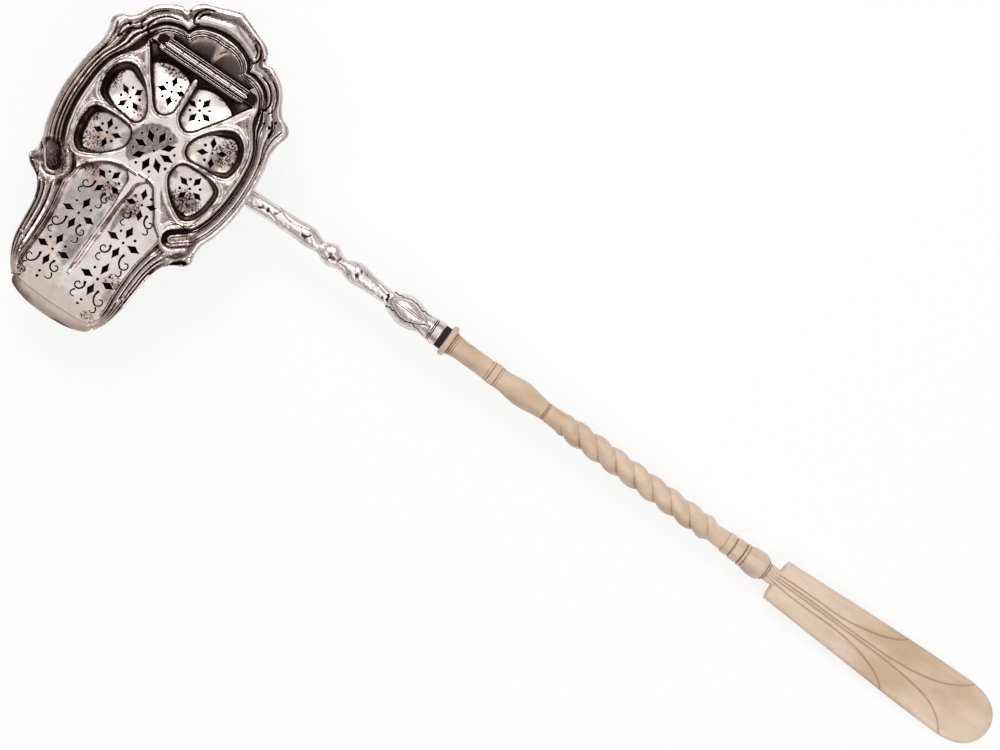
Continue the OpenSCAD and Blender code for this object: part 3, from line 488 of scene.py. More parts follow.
# bands that turn round the end of a volute's spine: face over the distance from that line in mm, height in mm and
# painted shade
volutes = {
    1: {"spine": [[22.6, -22.4], [24.4, -20.9], [27, -18.9], [29.4, -16.2], [31.2, -12], [32.2, -6]],
        "eye": (23.4, -21.4), "zone": (5.0, 8.2), "lean": -1,
        "face": [[0, 2.5, .45], [.3, 2.5, .3], [.55, 2.2, .7], [.85, 2.5, .3], [1.15, 2.7, .15], [1.5, 2.4, .5],
                 [1.8, 1.6, .9], [2.6, 1.2, .95], [3, 1.7, .8], [3.3, 2.7, .15], [3.6, 3.1, 0], [4, 3.2, .15],
                 [4.2, 3.1, .3], [4.4, 3.1, .05], [4.9, 2.8, 0], [5.3, 2.2, .4], [6, .9, .7]],
        "flank": [[0, 2.5, .45], [.4, 2.6, .35], [.7, 2.5, .45], [1, 2.7, .15], [1.35, 2.6, .3], [1.6, 2.3, .6],
                  [1.9, 2.6, .25], [2.3, 2.6, .2], [2.6, 2.3, .5], [2.9, 2.1, .65], [3.2, 2.6, .15], [3.8, 2.9, 0],
                  [4.4, 2.8, .05], [4.9, 2.5, .2], [5.3, 2.1, .4], [6, .9, .7]]},
    -1: {"spine": [[24.9, -23.4], [26.4, -21.4], [29.2, -17.4], [31, -13], [31.6, -8], [31.6, -2]],
         "eye": (25.4, -22.4), "zone": (5.2, 8.4), "lean": 1,
         "face": [[0, .5, .9], [.35, .8, .7], [.55, 1.4, 0], [.75, .8, .8], [1.2, .4, .95], [1.9, .5, .95], [2.15, 1.6, .6],
                  [2.4, 3.1, 0], [2.9, 3.4, 0], [3.4, 3, .05], [3.65, 2.2, .65], [4, 2.3, .4], [4.4, 2.8, 0], [5.4, 2.8, 0],
                  [6.2, 1.9, .2]],
         "flank": [[0, .5, .9], [.35, .8, .7], [.55, 1.4, 0], [.75, .8, .8], [1.2, .4, .95], [1.8, .7, .8],
                   [2.4, 1.4, .4], [3.5, 2.2, .25], [4.4, 2.9, .1], [5.2, 3.1, 0], [5.8, 2.6, .05], [6.5, .9, .6]]}}
# curled lines cut into the border, right side, as open lines in plan with a width and a depth
borderCuts = [
    ([[8.5, 49.6], [11, 48.6], [12.8, 46.4], [13, 44], [11.8, 42.6], [10.6, 43.2]], 0.3, 0.9),
    ([[9.4, 48], [11.2, 46.6], [11.7, 44.6]], 0.26, 0.7),
    ([[17.5, 40.6], [20.5, 39.6], [23, 37.4], [24.6, 34.4], [24.4, 32.2], [23.4, 31.4]], 0.28, 0.8),
    ([[21.5, 41.2], [24.6, 38.8], [26.4, 35.6], [26.8, 32.8], [25.8, 31]], 0.24, 0.6),
    ([[33.4, 28.4], [32.4, 25], [32.4, 20.5], [33.4, 15.5]], 0.28, 0.7),
    ([[30.8, 24.6], [30, 27.6], [28.6, 29.8]], 0.3, 0.8),
    ([[33.1, -27.2], [31.9, -26.6], [30.3, -26.8], [28.6, -28.2], [27.2, -30.4], [25.4, -32.8], [24, -36]], 0.6, 1.5)]
borderBeads = [[20.6, -48.4, 0.85, 0.75], [18.5, -53.4, 0.6, 0.5], [32.9, -25.2, 1.9, 0.8]]
borderPits = [[29.9, 30.2, 0.62], [29, 27.6, 0.75], [30.4, 25.6, 0.7], [26.6, 27.9, 0.5], [14.9, 45.4, 0.5],
              [16.2, 46.6, 0.45]]


# mix of two quantities, share 0 to 1
def mixed(a, b, share):
    return a + (b - a) * share


def makeBorder(size):
    half = smoothPath(borderPath, size["along"])
    ring = np.vstack([(half * [-1, 1, -1, 1, 1])[:0:-1], half])
    inner, out, width = stationParts(ring)
    y = ring[:, 3:4]
    base = seatHeight(ring[:, 1:2])
    crest = size["crest"] * (1 - 0.4 * np.clip((-24 - y) / 36, 0, 1)) * (1 - 0.84 * ease(-ring[:, 1:2], 50, 63))
    w = np.linspace(0, 1, size["across"])[None]
    d = w * width[:, None] * (1 - 0.12 * ease(-ring[:, 1:2], 59, 63.2) ** 2)
    face, shadeAndDirt = [
        mixed(mixed(mixed(np.interp(w, *np.array(leftFace)[:, [0, k]].T), np.interp(w, *np.array(rightFace)[:, [0, k]].T),
                          ease(ring[:, :1], -4, 4)),
                    mixed(np.interp(w, *np.array(rearFace)[:, [0, k]].T), np.interp(w, *np.array(rearRight)[:, [0, k]].T),
                          ease(ring[:, :1], -2, 3)), ease(y, 29, 35)),
              np.interp(w, *np.array(spoutFace)[:, [0, k]].T), ease(-y, 26, 31)) for k in (1, 2)]
    # fine steps round the rear, their grooves painted dark as shade
    fine = ease(-w, -size["stepShare"], -size["stepShare"] * 0.86) * ease(y, 26, 31)
    groove = bell((d / size["steps"]) % 1, 0.5, 0.2)
    h = crest * face + fine * (0.14 - 0.34 * groove)
    shadeAndDirt = shadeAndDirt + fine * 0.85 * groove
    p = inner[:, None] + out[:, None] * d[..., None]
    px, py = np.abs(p[..., 0]), p[..., 1]
    olive = np.zeros_like(h)
    for side, part in volutes.items():
        far = lineDistance(px, py, np.array(part["spine"]))
        zone = (p[..., 0] * side > 0) * ease(-np.hypot(px - part["eye"][0], py - part["eye"][1]),
                                             -part["zone"][1], -part["zone"][0])
        shape, shade = [np.interp(far, *np.array(part["face"])[:, [0, k]].T) for k in (1, 2)]
        # one side has a profile of its own: towards the strainer the left one climbs a wide olive flank
        inward = ((part["eye"][0] - px) * 0.8 + (py - part["eye"][1]) * 0.6) * part["lean"]
        inward = ease(inward, -0.4, 1.4)
        flank = [np.interp(far, *np.array(part["flank"])[:, [0, k]].T) for k in (1, 2)]
        shape, shade = mixed(shape, flank[0], inward), mixed(shade, flank[1], inward)
        olive = np.maximum(olive, 0.9 * (side < 0) * zone * inward * bell(far, 3.8, 1.5))
        h = mixed(h, shape, zone)
        shadeAndDirt = mixed(shadeAndDirt, shade, zone)
    cut = np.zeros_like(h)
    for line, wide, deep in borderCuts:
        cut = np.maximum(cut, deep * bell(lineDistance(px, py, smoothPath(line, 5)), 0, wide))
    for cx, cy, r in borderPits:
        cut = np.maximum(cut, 1.1 * ease(-np.hypot(px - cx, py - cy), -r, -r * 0.3))
    cut = np.minimum(cut, np.maximum(h - 0.25, 0)) * ease(-w, -0.995, -0.93)
    for cx, cy, r, tall in borderBeads:
        away = np.hypot(px - cx, py - cy)
        h = h + tall * np.sqrt(np.clip(1 - (away / r) ** 2, 0, 1)) - 0.3 * bell(away, r * 1.25, 0.22)
        shadeAndDirt = shadeAndDirt * ease(away, 0.5 * r, 1.1 * r)
    h = h - cut + 0.05 * ripple(p[..., 0], p[..., 1], 3.5)
    # at the spout's end the rails sink into the lip's land and its rounded edge
    end = ease(-ring[:, 1:2], 57, 63.2)
    h = mixed(np.maximum(h, 0.12), bowlSize["land"], end)
    # painted shade: darker where the surface lies below its surroundings and in the cut lines and pits, with less of it
    # towards the spout's end
    low = blurred(blurred(h, 6, 1), 3, 1) - h
    shadeAndDirt = shadeAndDirt * (1 - 0.85 * ease(-p[..., 1], 52, 60))
    paintedShadeAndDirt = shadeAndDirt + np.clip(low / 0.8, 0, 1) * 0.2 + np.clip(cut / 0.9, 0, 1) * 0.7
    paintedShadeAndDirt = paintedShadeAndDirt + 0.08 * ripple(p[..., 0], p[..., 1], 6)
    roll = bowlSize["roll"] * end
    top = np.dstack([p, base + h - roll * w ** 2.5])
    # underside: down the outer edge, in under the overhang, flat on the seat
    share = ring[:, 4] * width
    width = width * (1 - 0.12 * ease(-ring[:, 1], 59, 63.2) ** 2)
    foot = np.minimum(share + 1.3, 0.75 * width)
    base, crest, roll = base[:, 0], crest[:, 0], roll[:, 0]
    rows = [(width, h[:, -1] - 0.5 * size["edge"]), (0.985 * width, h[:, -1] - size["edge"]),
            (0.62 * width, np.maximum(0.72 * crest - 1.6 * size["edge"], crest / 8)), (foot, 0 * foot), (0 * foot, 0 * foot)]
    under = np.stack([np.column_stack([inner + out * f[:, None], base + z - roll * (f / width) ** 2.5])
                      for f, z in rows], 1)
    grid = np.concatenate([top, under], 1)
    # the underside is painted darker towards the seat, as shade under the overhang
    dark = np.concatenate([paintedShadeAndDirt, np.tile([0.1, 0.25, 0.5, 0.7, 0.6], (len(ring), 1))], 1)
    tarnish = 0.75 * ease(-grid[..., 1], 53, 61) + 0.15 * ripple(grid[..., 0], grid[..., 1], 14)
    tarnish[:, :w.size] += olive
    grime = 0.2 + 0 * dark
    grime[:, :w.size] += 0.6 * olive
    marks = {"paintedShadeAndDirt": dark[:, ::-1], "tarnish": np.clip(tarnish, 0, 1)[:, ::-1], "grime": grime[:, ::-1]}
    ob = skinMesh("rimBorder", grid[:, ::-1], castSilver, marks, sharpAngle=55)
    place(ob, "ladle", ["rim_border"])


makeBorder(borderSize)
print("border made")


# strainer: a sheet whose height over the web is a function of plan position, pierced right through.
# its middle line wanders a little, as hand work does
plateSize = {"across": 190, "along": 300, "web": 24.95, "thick": 0.8, "gap": 0.35, "rear": 30.65, "ridgeEnd": -51.0,
             "seat": 3.6, "rearDepth": (1.5, 3.5), "sideDepth": (1.3, 3.3), "headDepth": 2.5, "wall": 0.5, "hollow": 0.9, "ledge": 0.2,
             # spots as x, y, half sizes and strength: the grey ones are painted reflections and the painted shadow
             # beside the rib, the yellow and brown ones stains
             "grey": [[-10.5, -31, 8, 17, 0.5], [-5, -43.5, 3.6, 8, 0.75], [-13, -25, 5, 5, 0.45], [3, -26.5, 1.2, 6, 0.8],
                      [5.4, -22.5, 2.4, 2, 0.55], [-4.2, 12.4, 2.6, 1.8, 0.7], [4.6, 12, 2.4, 1.6, 0.55],
                      [-10.6, 4.2, 2.2, 2.6, 0.65], [10, 4.8, 2, 1.6, 0.5], [10.4, -3.4, 1.6, 2, 0.7],
                      [-10, -2.6, 2.4, 2.8, 0.6], [-2.6, -14, 1.6, 2.2, 0.6], [15, -51, 2, 2.6, 0.6],
                      [-17.6, 20, 2, 2.4, 0.5], [-7, -12.6, 3, 1.2, 0.4], [19.6, -9, 4.2, 3.6, 0.65],
                      [19.4, 7, 3, 5.4, 0.7], [-21.5, 8, 2.5, 5, 0.35]],
             "yellow": [[-18, -7, 5, 3, 0.75], [-16, -16.6, 8, 2.6, 0.8], [0, -61, 17, 5, 0.7], [-10, -55, 9, 5, 0.6],
                        [12, -57, 6, 4.6, 0.6], [17, 27, 3.4, 2.6, 0.5], [24, 10, 3, 5, 0.6], [-13, 7.5, 6, 1.8, 0.5],
                        [-9, -20, 7, 3.4, 0.7], [4.8, -20, 3.6, 5, 0.65], [-13, -49, 5, 5, 0.5], [12, 7.4, 4, 2.4, 0.5],
                        [12, -49, 5, 4, 0.45]],
             "brown": [[18.3, -9.5, 6, 4.5, 0.42], [21.5, 12.5, 5, 5.5, 0.45], [-25.5, 11.5, 3, 6, 0.4],
                       [-11.6, 7.3, 2.5, 2, 0.35], [-10.5, 26, 8, 2.6, 0.42], [-19.5, -10, 6, 3.4, 0.36],
                       [-24, -3, 3, 6, 0.3], [-4.6, -20.5, 4, 4.4, 0.38], [4.6, -21.5, 3.4, 4.4, 0.34],
                       [13.4, -46, 3, 3.4, 0.26], [12, 27, 6, 1.6, 0.3], [-17, -60, 4.4, 3.6, 0.5],
                       [13, -60.6, 3, 2, 0.26], [-14, -18, 5, 2.4, 0.3]]}
rearLobe = [[1, 14.5], [2.6, 11.6], [5.3, 10.4], [8, 11.6], [11, 15.5], [15.1, 21], [17.6, 25], [19.8, 28.2], [21.2, 30.2],
            [19.4, 30.4], [16.9, 30.2], [16.4, 29.1], [12, 28.9], [6, 28.9], [2, 28.9], [-2, 28.9], [-2, 27.6], [0.7, 27],
            [1, 21]]
upperLobe = [[8.6, 7.2], [9.4, 4.4], [11.8, 3.1], [17.5, 3.6], [22.8, 4], [25.8, 5.2], [27.2, 8.6], [27.3, 12.8],
             [26, 16.6], [23.4, 19.2], [20, 19.8], [15.8, 17.6], [12.3, 14.2], [9.7, 10.5]]
lowerLobe = [[9, -1], [8.7, -4.5], [10.6, -8], [14.5, -11.8], [19.2, -14.6], [21.8, -15], [24.4, -13],
             [26, -9.6], [26.7, -5], [26.4, -0.9], [24.6, 1.1], [20.5, 1.9], [15, 2], [11, 1.4]]
channelHeads = {1: [[4.6, -10.4], [7.2, -11.3], [9.3, -14.2], [12.6, -18.4], [14.4, -21.2], [17, -23.2], [20.5, -25.4]],
                -1: [[6.7, -11.2], [10, -12.4], [13.4, -14.6], [16.4, -17.6], [18.6, -20.9], [21.5, -23]]}
# flowers as x, y, turn, distance of the diamonds, half length and half width of a diamond
sideFlowers = [[5.8, 19.3, -15, 3.4, 2.1, 1.18], [16.9, 9.6, 27, 3.4, 2.15, 1.18], [17.1, -4.7, -15, 3.4, 2.15, 1.18]]
frontFlowers = [[6.9, -18.5, 20, 3.7, 2.25, 1.2], [9.1, -32.8, 0, 4.2, 2.55, 1.3], [9.2, -47.9, 0, 4.2, 2.55, 1.3]]
rosette = [0, -0.9, 0, 5.2, 2.7, 1.35]
endDots = [[8.6, -56.6], [8.4, -58.4]]
# saw cuts below a front flower, outer and inner: a hook from the dot into a small spiral, and a tail
outerCurl = [[2.7, -3.5], [2.5, -5], [3, -6.6], [4.4, -7.8], [5.8, -7.4], [6.3, -6.2], [5.6, -5.2], [4.6, -5.6]]
innerCurl = [[2.8, -3.3], [2.4, -4.5], [2.9, -5.8], [4.1, -6.4], [5.2, -5.9], [5.4, -4.8], [4.6, -4.1], [3.9, -4.6]]
outerTail = [[4.9, -8.3], [5.7, -9.2], [5.6, -10.2], [4.6, -10.7], [3.9, -10.3]]
innerTail = [[4.3, -7], [5, -7.9], [5, -8.9], [4, -9.5], [3, -9.2]]


def middleLine(y):
    return 0.5 - 0.06 * np.maximum(y - 2, 0) - 0.022 * np.maximum(-y - 2, 0)


# half width of the sheet at each y, measured on the border's inner edge
def plateHalf(y):
    inner, out, width = stationParts(smoothPath(borderPath, 8))
    edge = inner - out * plateSize["gap"] * (1 - 0.7 * ease(-inner[:, 1:], 50, 58))
    keep = edge[:, 1] < 33
    edge = edge[keep][::-1]
    order = np.argsort(edge[:, 1])
    return np.interp(y, edge[order, 1], edge[order, 0])


# y of the sheet's front edge
def frontEdge(x):
    inner, out, width = stationParts(smoothPath(np.vstack([borderPath[-1:], lipPath]), 8))
    edge = (inner - 0.12 * out)[::-1]
    return np.interp(np.abs(x), edge[:, 0], edge[:, 1])


# The height is the lowest of the dishes and channels. A dish falls by depth * ease(d, 0, wall), d the distance in from
# its outline, and then by hollow * (1 - exp(-d / 3)). Its depth and the width of its wall grow outwards, so the floor
# tilts up to a thin wall by the rosette. The rear dishes climb again behind an arc, into the dark under the hinge
def plateHeight(x, y, size):
    cx = x - middleLine(y)
    ax = np.abs(cx)
    fromMiddle = np.hypot(cx, y + 0.9)
    h = np.zeros_like(x)
    bead = np.zeros_like(x)
    shadeAndDirt = np.zeros_like(x)
    nearest = np.full_like(x, -99)
    outer = ease(fromMiddle, 17, 24)
    for lobe, (shallow, deep) in ((rearLobe, size["rearDepth"]), (upperLobe, size["sideDepth"]),
                                  (lowerLobe, size["sideDepth"])):
        d = insideDistance(ax, y, smoothRing(lobe, 4))
        if lobe is rearLobe:
            depth = shallow + (deep - shallow) * ease(y, 12, 27)
            wall = size["wall"] + 0 * y
            beyond = np.hypot(ax - 8.3, y - 15.3) - 11.6
            climb = 1 - 0.72 * ease(beyond, 0, 2.6)
            # painted shade: the rear dishes' floor is dark behind the arc, under the hinge
            dark = (d > 0) * (0.72 * ease(beyond, -0.15, 0.35) - 0.25 * ease(beyond, 1.5, 5))
            ends = 0.35
        else:
            depth = shallow + (deep - shallow) * ease(fromMiddle, 11, 25)
            wall = size["wall"] + 2.0 * ease(fromMiddle, 19, 26)
            climb = 1
            # painted shade on the other dishes' walls where they slope
            dark = (d > 0) * (0.5 * (1 - ease(d, wall - 0.35, wall + 0.1)) - 0.25 * bell(d, 0.4 * wall, 0.16))
            dark = dark * ease(wall, 0.6, 1.4)
            ends = outer
        h = np.minimum(h, climb * (-depth * ease(d, 0.0, wall) - size["hollow"] * (1 - np.exp(-np.maximum(d, 0) / 3))))
        # a painted dark line of shade in each outline's crease, a little darker just inside it, and in the grooves
        # between the beads
        shadeAndDirt = np.maximum(shadeAndDirt, np.maximum(dark, 0.8 * bell(d, 0.12, 0.2)))
        shadeAndDirt = shadeAndDirt + (d > 0) * 0.2 * np.exp(-np.maximum(d, 0) / 1.3)
        bead = np.maximum(bead, 0.36 * bell(d, -0.42, 0.28) - 0.14 * bell(d, -0.95, 0.2)
                          + 0.26 * bell(d, -1.45, 0.3) * ends - 0.16 * bell(d, -1.95, 0.2) * ends)
        shadeAndDirt = shadeAndDirt + 0.3 * bell(d, -0.92, 0.14) * (0.4 + 0.6 * ends) + 0.3 * bell(d, -1.95, 0.14) * ends
        nearest = np.maximum(nearest, d)
    # front channels: their heads' outline, the border's edge, and the rib that narrows to a fine double line
    edge = plateHalf(y)
    dHead = [insideDistance(ax, y, np.vstack([smoothPath(channelHeads[side], 4), [[24, -70], [-6, -70], [-6, channelHeads[side][0][1]]]]))
             for side in (-1, 1)]
    dHead = np.where(cx > 0, dHead[1], dHead[0])
    margin = edge - np.abs(x)
    dSide = np.where(y < -20, margin - size["ledge"], 99)
    dSide = np.where(y < -57, np.maximum(dSide, -y - 57), dSide)
    ribHalf = (0.35 + 0.75 * ease(y, -25, -16) + 2.4 * ease(y, -15.5, -10.8) ** 2) * (1 - ease(-y, 44, 51))
    dRib = np.where(y < -9, np.hypot(ax, np.maximum(size["ridgeEnd"] - y, 0)) - ribHalf, 99)
    depth = size["headDepth"] + (size["seat"] - size["headDepth"]) * ease(-y, 13, 34)
    near = np.minimum(np.minimum(dHead, dSide), dRib)
    h = np.minimum(h, -depth * ease(near, 0.0, size["wall"] + 0.3))
    # the left slope of the rib is long and soft
    h = h + 0.5 * ease(-dRib, -3.2, -0.6) * ease(near, 0.4, 0.9) * (cx < 0) * ease(-y, 18, 24) * ease(y, -51, -45)
    # painted shade along the channels' outlines and the border's edge, and a painted shadow on the rib's right side
    shadeAndDirt = np.maximum(shadeAndDirt, 0.7 * bell(dHead, 0.1, 0.2) * (y > -22))
    shadeAndDirt = np.maximum(shadeAndDirt, 0.5 * bell(np.minimum(dSide, dHead), 0.15, 0.22) * (y < -20) * (y > -56))
    shadeAndDirt = np.maximum(shadeAndDirt, 0.45 * bell(dSide, 0.4, 0.5) * (cx < 0) * ease(-y, 33, 40) * (y > -57))
    shadeAndDirt = np.maximum(shadeAndDirt, 0.5 * bell(dRib, 0.1, 0.16) * (y > size["ridgeEnd"] + 1))
    shadeAndDirt = np.maximum(shadeAndDirt, 0.4 * bell(dRib, 0.35, 0.4) * (y > -34) * (cx > 0))
    bead = np.maximum(bead, np.where(y > -24, 0.34 * bell(dHead, -0.42, 0.28) - 0.12 * bell(dHead, -0.98, 0.22), 0))
    nearest = np.maximum(nearest, dHead)
    flat = np.clip(1 + h / 0.6, 0, 1)
    # between the outlines the web lies a little lower, and fine lines run along its margin; the low web and the lines'
    # grooves are painted darker as shade
    sunk = ease(-nearest, 2.0, 2.5) * ease(fromMiddle, 11.5, 13.5) * ease(margin, 1.4, 1.8) * (y < 28.6)
    lines = 0.12 * np.cos(2 * math.pi * (margin - 0.2) / 0.8) * ease(-margin, -2.2, -1.8) * (y > -18) * (y < 28)
    h = h + flat * (bead + lines - 0.3 * sunk)
    shadeAndDirt = shadeAndDirt + flat * (0.3 * sunk + 0.3 * ease(-lines, 0.03, 0.1))
    h = h + 0.05 * ripple(x, y, 4.5) + 0.06 * ripple(x, y, 12)
    return h, shadeAndDirt


# the sheet's underside: the lowest of the balls of the sheet's thickness that hang from the upper face nearby
def underHeight(h, thick, step=0.3, reach=2):
    low = h - thick
    for i in range(-reach, reach + 1):
        for j in range(-reach, reach + 1):
            away = (i * i + j * j) * step * step
            if 0 < away < thick * thick:
                near = np.roll(np.roll(np.pad(h, reach, "edge"), i, 0), j, 1)[reach:-reach, reach:-reach]
                low = np.minimum(low, near - math.sqrt(thick * thick - away))
    return low


# soft round spots, each with a half size in x and y
def softSpots(x, y, spots):
    out = np.zeros_like(x)
    for sx, sy, rx, ry, strength in spots:
        away = np.hypot((x - sx) / rx, (y - sy) / ry) + 0.12 * ripple(x, y, 3.0)
        out = np.maximum(out, strength * ease(-away, -1.15, -0.55))
    return out


def makePlate(size):
    v = np.concatenate([np.linspace(size["rear"], -14, 150)[:-1], np.linspace(-14, -27, 60)[:-1], np.linspace(-27, -61.6, 93)])
    if len(v) % 2 == 0:
        v = np.append(v[:-1], [(v[-2] + v[-1]) / 2, v[-1]])
    u = np.linspace(-1, 1, size["across"] + 1)
    yy = np.repeat(v[:, None], len(u), 1)
    xx = u[None] * plateHalf(v)[:, None]
    # the last rows bend to the curved front edge
    yy = yy + ease(-yy, 52, 61.6) * (frontEdge(xx) + 61.6)
    h, shadeAndDirt = plateHeight(xx, yy, size)
    # painted shade: darker where the sheet lies below its surroundings
    low = blurred(blurred(h, 3, 0), 3, 1) - h
    paintedShadeAndDirt = np.clip(np.clip(low / 0.5, 0, 1) * 0.25 + shadeAndDirt + 0.05 * ripple(xx, yy, 5), 0, 1)
    # a painted grey reflection with a straight edge lies over the upper left half of the rosette, and more painted grey
    # reflections lie on the grey spots, kept clear of the rib's left side
    acrossEdge = (yy + 9.6) * 0.587 - (xx + 5.3) * 0.81
    greyReflection = ease(acrossEdge + 0.08 * ripple(xx, yy, 1.6), -0.2, 0.4) * (0.92 + 0.08 * ripple(xx, yy, 2.2))
    greyReflection = greyReflection * ease(-np.hypot(xx, yy + 0.9) + 0.2 * ripple(xx, yy, 3), -9.5, -8.9)
    fromRib = np.where((yy < -20) & (xx < middleLine(yy)), middleLine(yy) - xx, 9)
    greyReflection = np.maximum(greyReflection, softSpots(xx, yy, size["grey"]) * ease(fromRib, 1.2, 2.4))
    marks = {"greyReflection": greyReflection, "tarnish": softSpots(xx, yy, size["yellow"])}
    top = np.dstack([xx, yy, size["web"] + h])
    under = np.dstack([xx, yy, size["web"] + underHeight(h, size["thick"])])[::2, ::2]
    rows, cols = top.shape[:2]
    r2, c2 = under.shape[:2]
    idTop = np.arange(rows * cols).reshape(rows, cols)
    idLow = rows * cols + np.arange(r2 * c2).reshape(r2, c2)
    quad = lambda g: np.stack([g[:-1, :-1], g[1:, :-1], g[1:, 1:], g[:-1, 1:]], -1).reshape(-1, 4)
    faces = quad(idTop).tolist() + quad(idLow)[:, ::-1].tolist()
    # edge strip: two fine edges of the upper face against one of the lower
    rim = lambda g: np.concatenate([g[0, :-1], g[:-1, -1], g[-1, :0:-1], g[:0:-1, 0]])
    a, b = rim(idTop), rim(idLow)
    k = np.arange(len(b))
    faces += np.stack([a[2 * k], a[2 * k + 1], a[(2 * k + 2) % len(a)], b[(k + 1) % len(b)], b[k]], -1).tolist()
    verts = np.vstack([top.reshape(-1, 3), under.reshape(-1, 3)])
    brown = softSpots(xx, yy, size["brown"])
    marks["paintedShadeAndDirt"] = np.clip(paintedShadeAndDirt + 0.48 * brown + 0.1 * greyReflection, 0, 1)
    marks["grime"] = 0.12 + 1.6 * brown
    both = {key: np.concatenate([v.ravel(), v[::2, ::2].ravel()]) for key, v in marks.items()}
    both["paintedShadeAndDirt"][rows * cols:] = 0.24
    ob = makeMesh("strainerPlate", verts, faces, plateSilver, both, 60)
    return ob


# prisms to cut with: each outline in plan becomes a closed block between two heights
def makeCutters(outlines, low, high):
    verts, faces, n = [], [], 0
    for p in outlines:
        # outlines that run clockwise are turned round, so that every block's faces look out
        after = np.roll(p, -1, 0)
        p = p if (p[:, 0] * after[:, 1] - after[:, 0] * p[:, 1]).sum() > 0 else p[::-1]
        k = len(p)
        verts += [np.column_stack([p, np.full(k, low)]), np.column_stack([p, np.full(k, high)])]
        faces += [list(range(n, n + k))[::-1], list(range(n + k, n + 2 * k))]
        faces += [[n + i, n + (i + 1) % k, n + k + (i + 1) % k, n + k + i] for i in range(k)]
        n += 2 * k
    mesh = bpy.data.meshes.new("cutters")
    mesh.from_pydata((np.vstack(verts) * 0.001).tolist(), [], faces)
    mesh.update()
    return mesh


def turnedPoints(p, angle, at):
    c, s = math.cos(math.radians(angle)), math.sin(math.radians(angle))
    return np.asarray(p) @ np.array([[c, s], [-s, c]]) + at


def piercings():
    a = np.linspace(0, 2 * math.pi, 12, endpoint=False)
    dot = 0.52 * np.column_stack([np.cos(a), np.sin(a)])
    # a diamond with slightly hollow sides, filed by hand
    diamond = np.array([[1, 0], [0.47, 0.45], [0, 1], [-0.47, 0.45], [-1, 0], [-0.47, -0.45], [0, -1], [0.47, -0.45]])
    jitter = lambda p, m: p * (1 + rng.uniform(-m, m, (1, 2))) + rng.uniform(-0.12, 0.12, (1, 2))
    out = []

    def flower(x, y, turn, r, long, wide, count, far, dots):
        out.append(turnedPoints(jitter(dot, 0.1), 0, [x, y]))
        for k in range(count):
            angle = turn + 360 / count * k
            p = turnedPoints(jitter(diamond * [long, wide], 0.06) + [r, 0], angle + rng.uniform(-4, 4), [x, y])
            q = turnedPoints(jitter(dot, 0.12) + [far, 0], angle + 180 / count, [x, y])
            out.extend([p, q] if k in dots else [p])

    # a saw cut: the line with a width on both sides that tapers to its end
    def stroke(line, wide, angle, at):
        line = smoothPath(line, 4)
        t = np.gradient(line, axis=0)
        normal = np.column_stack([-t[:, 1], t[:, 0]]) / np.linalg.norm(t, axis=1)[:, None]
        taper = wide * (0.7 + 0.5 * np.linspace(1, 0, len(line)) ** 2)[:, None]
        out.append(turnedPoints(np.vstack([line + normal * taper, (line - normal * taper)[::-1]]), angle, at))

    flower(*rosette, 8, 7.2, range(8))
    for side in (-1, 1):
        for x, y, turn, r, long, wide in sideFlowers:
            flower(side * x, y, side * turn, r, long, wide, 4, r * 1.02, range(4))
        for x, y, turn, r, long, wide in frontFlowers:
            # the two lower dots are the heads of the curls
            flower(side * x, y, side * turn, r, long, wide, 4, r * 1.02, (0, 1) if side > 0 else (1, 0))
            small = 0.84 if turn else 1
            for mirror, curl, tail in ((side, outerCurl, outerTail), (-side, innerCurl, innerTail)):
                head = np.array(curl[0])
                at = turnedPoints([head * [mirror, 1]], side * turn, [side * x, y])[0]
                out.append(dot * 1.1 + at)
                stroke((np.array(curl) - head) * [mirror * small, small], 0.34, 0.5 * side * turn, at)
                stroke((np.array(tail) - head) * [mirror * small, small], 0.28, 0.5 * side * turn, at)
        for x, y in endDots:
            out.append(turnedPoints(jitter(dot, 0.1), 0, [side * x, y]))
    return [p + np.column_stack([middleLine(p[:, 1]), 0 * p[:, 1]]) for p in out]


def pierce(ob):
    mesh = makeCutters(piercings(), 18, 28)
    tool = bpy.data.objects.new("cutter", mesh)
    bpy.context.scene.collection.objects.link(tool)
    mod = ob.modifiers.new("piercing", "BOOLEAN")
    mod.operation = "DIFFERENCE"
    mod.solver = "EXACT"
    mod.use_self = True
    mod.object = tool
    deps = bpy.context.evaluated_depsgraph_get()
    pierced = bpy.data.meshes.new_from_object(ob.evaluated_get(deps))
    ob.modifiers.clear()
    ob.data = pierced
    bpy.data.objects.remove(tool)
    pierced.set_sharp_from_angle(angle=math.radians(60))


plate = makePlate(plateSize)
print("strainer sheet made", len(plate.data.polygons))
pierce(plate)
place(plate, "strainer", ["strainer_plate"])
print("strainer pierced", len(plate.data.polygons))


# hinge: two ridged strips with their knuckles. Sections are drawn in (y, z) and pushed along x:
# a strip has a groove along its middle, a knuckle is a barrel with a groove along its top
hinge = {"y": 31.8, "z": 25.9, "r": 0.95, "low": 24.97, "top": 25.68, "rise": 0.34, "half": 16.2, "knuckle": 6.5,
         "gap": 0.15, "leaf": (29.25, 30.65), "bridge": (32.95, 34.35), "tab": 19.95, "cut": 18.8, "tabFront": 1.95}


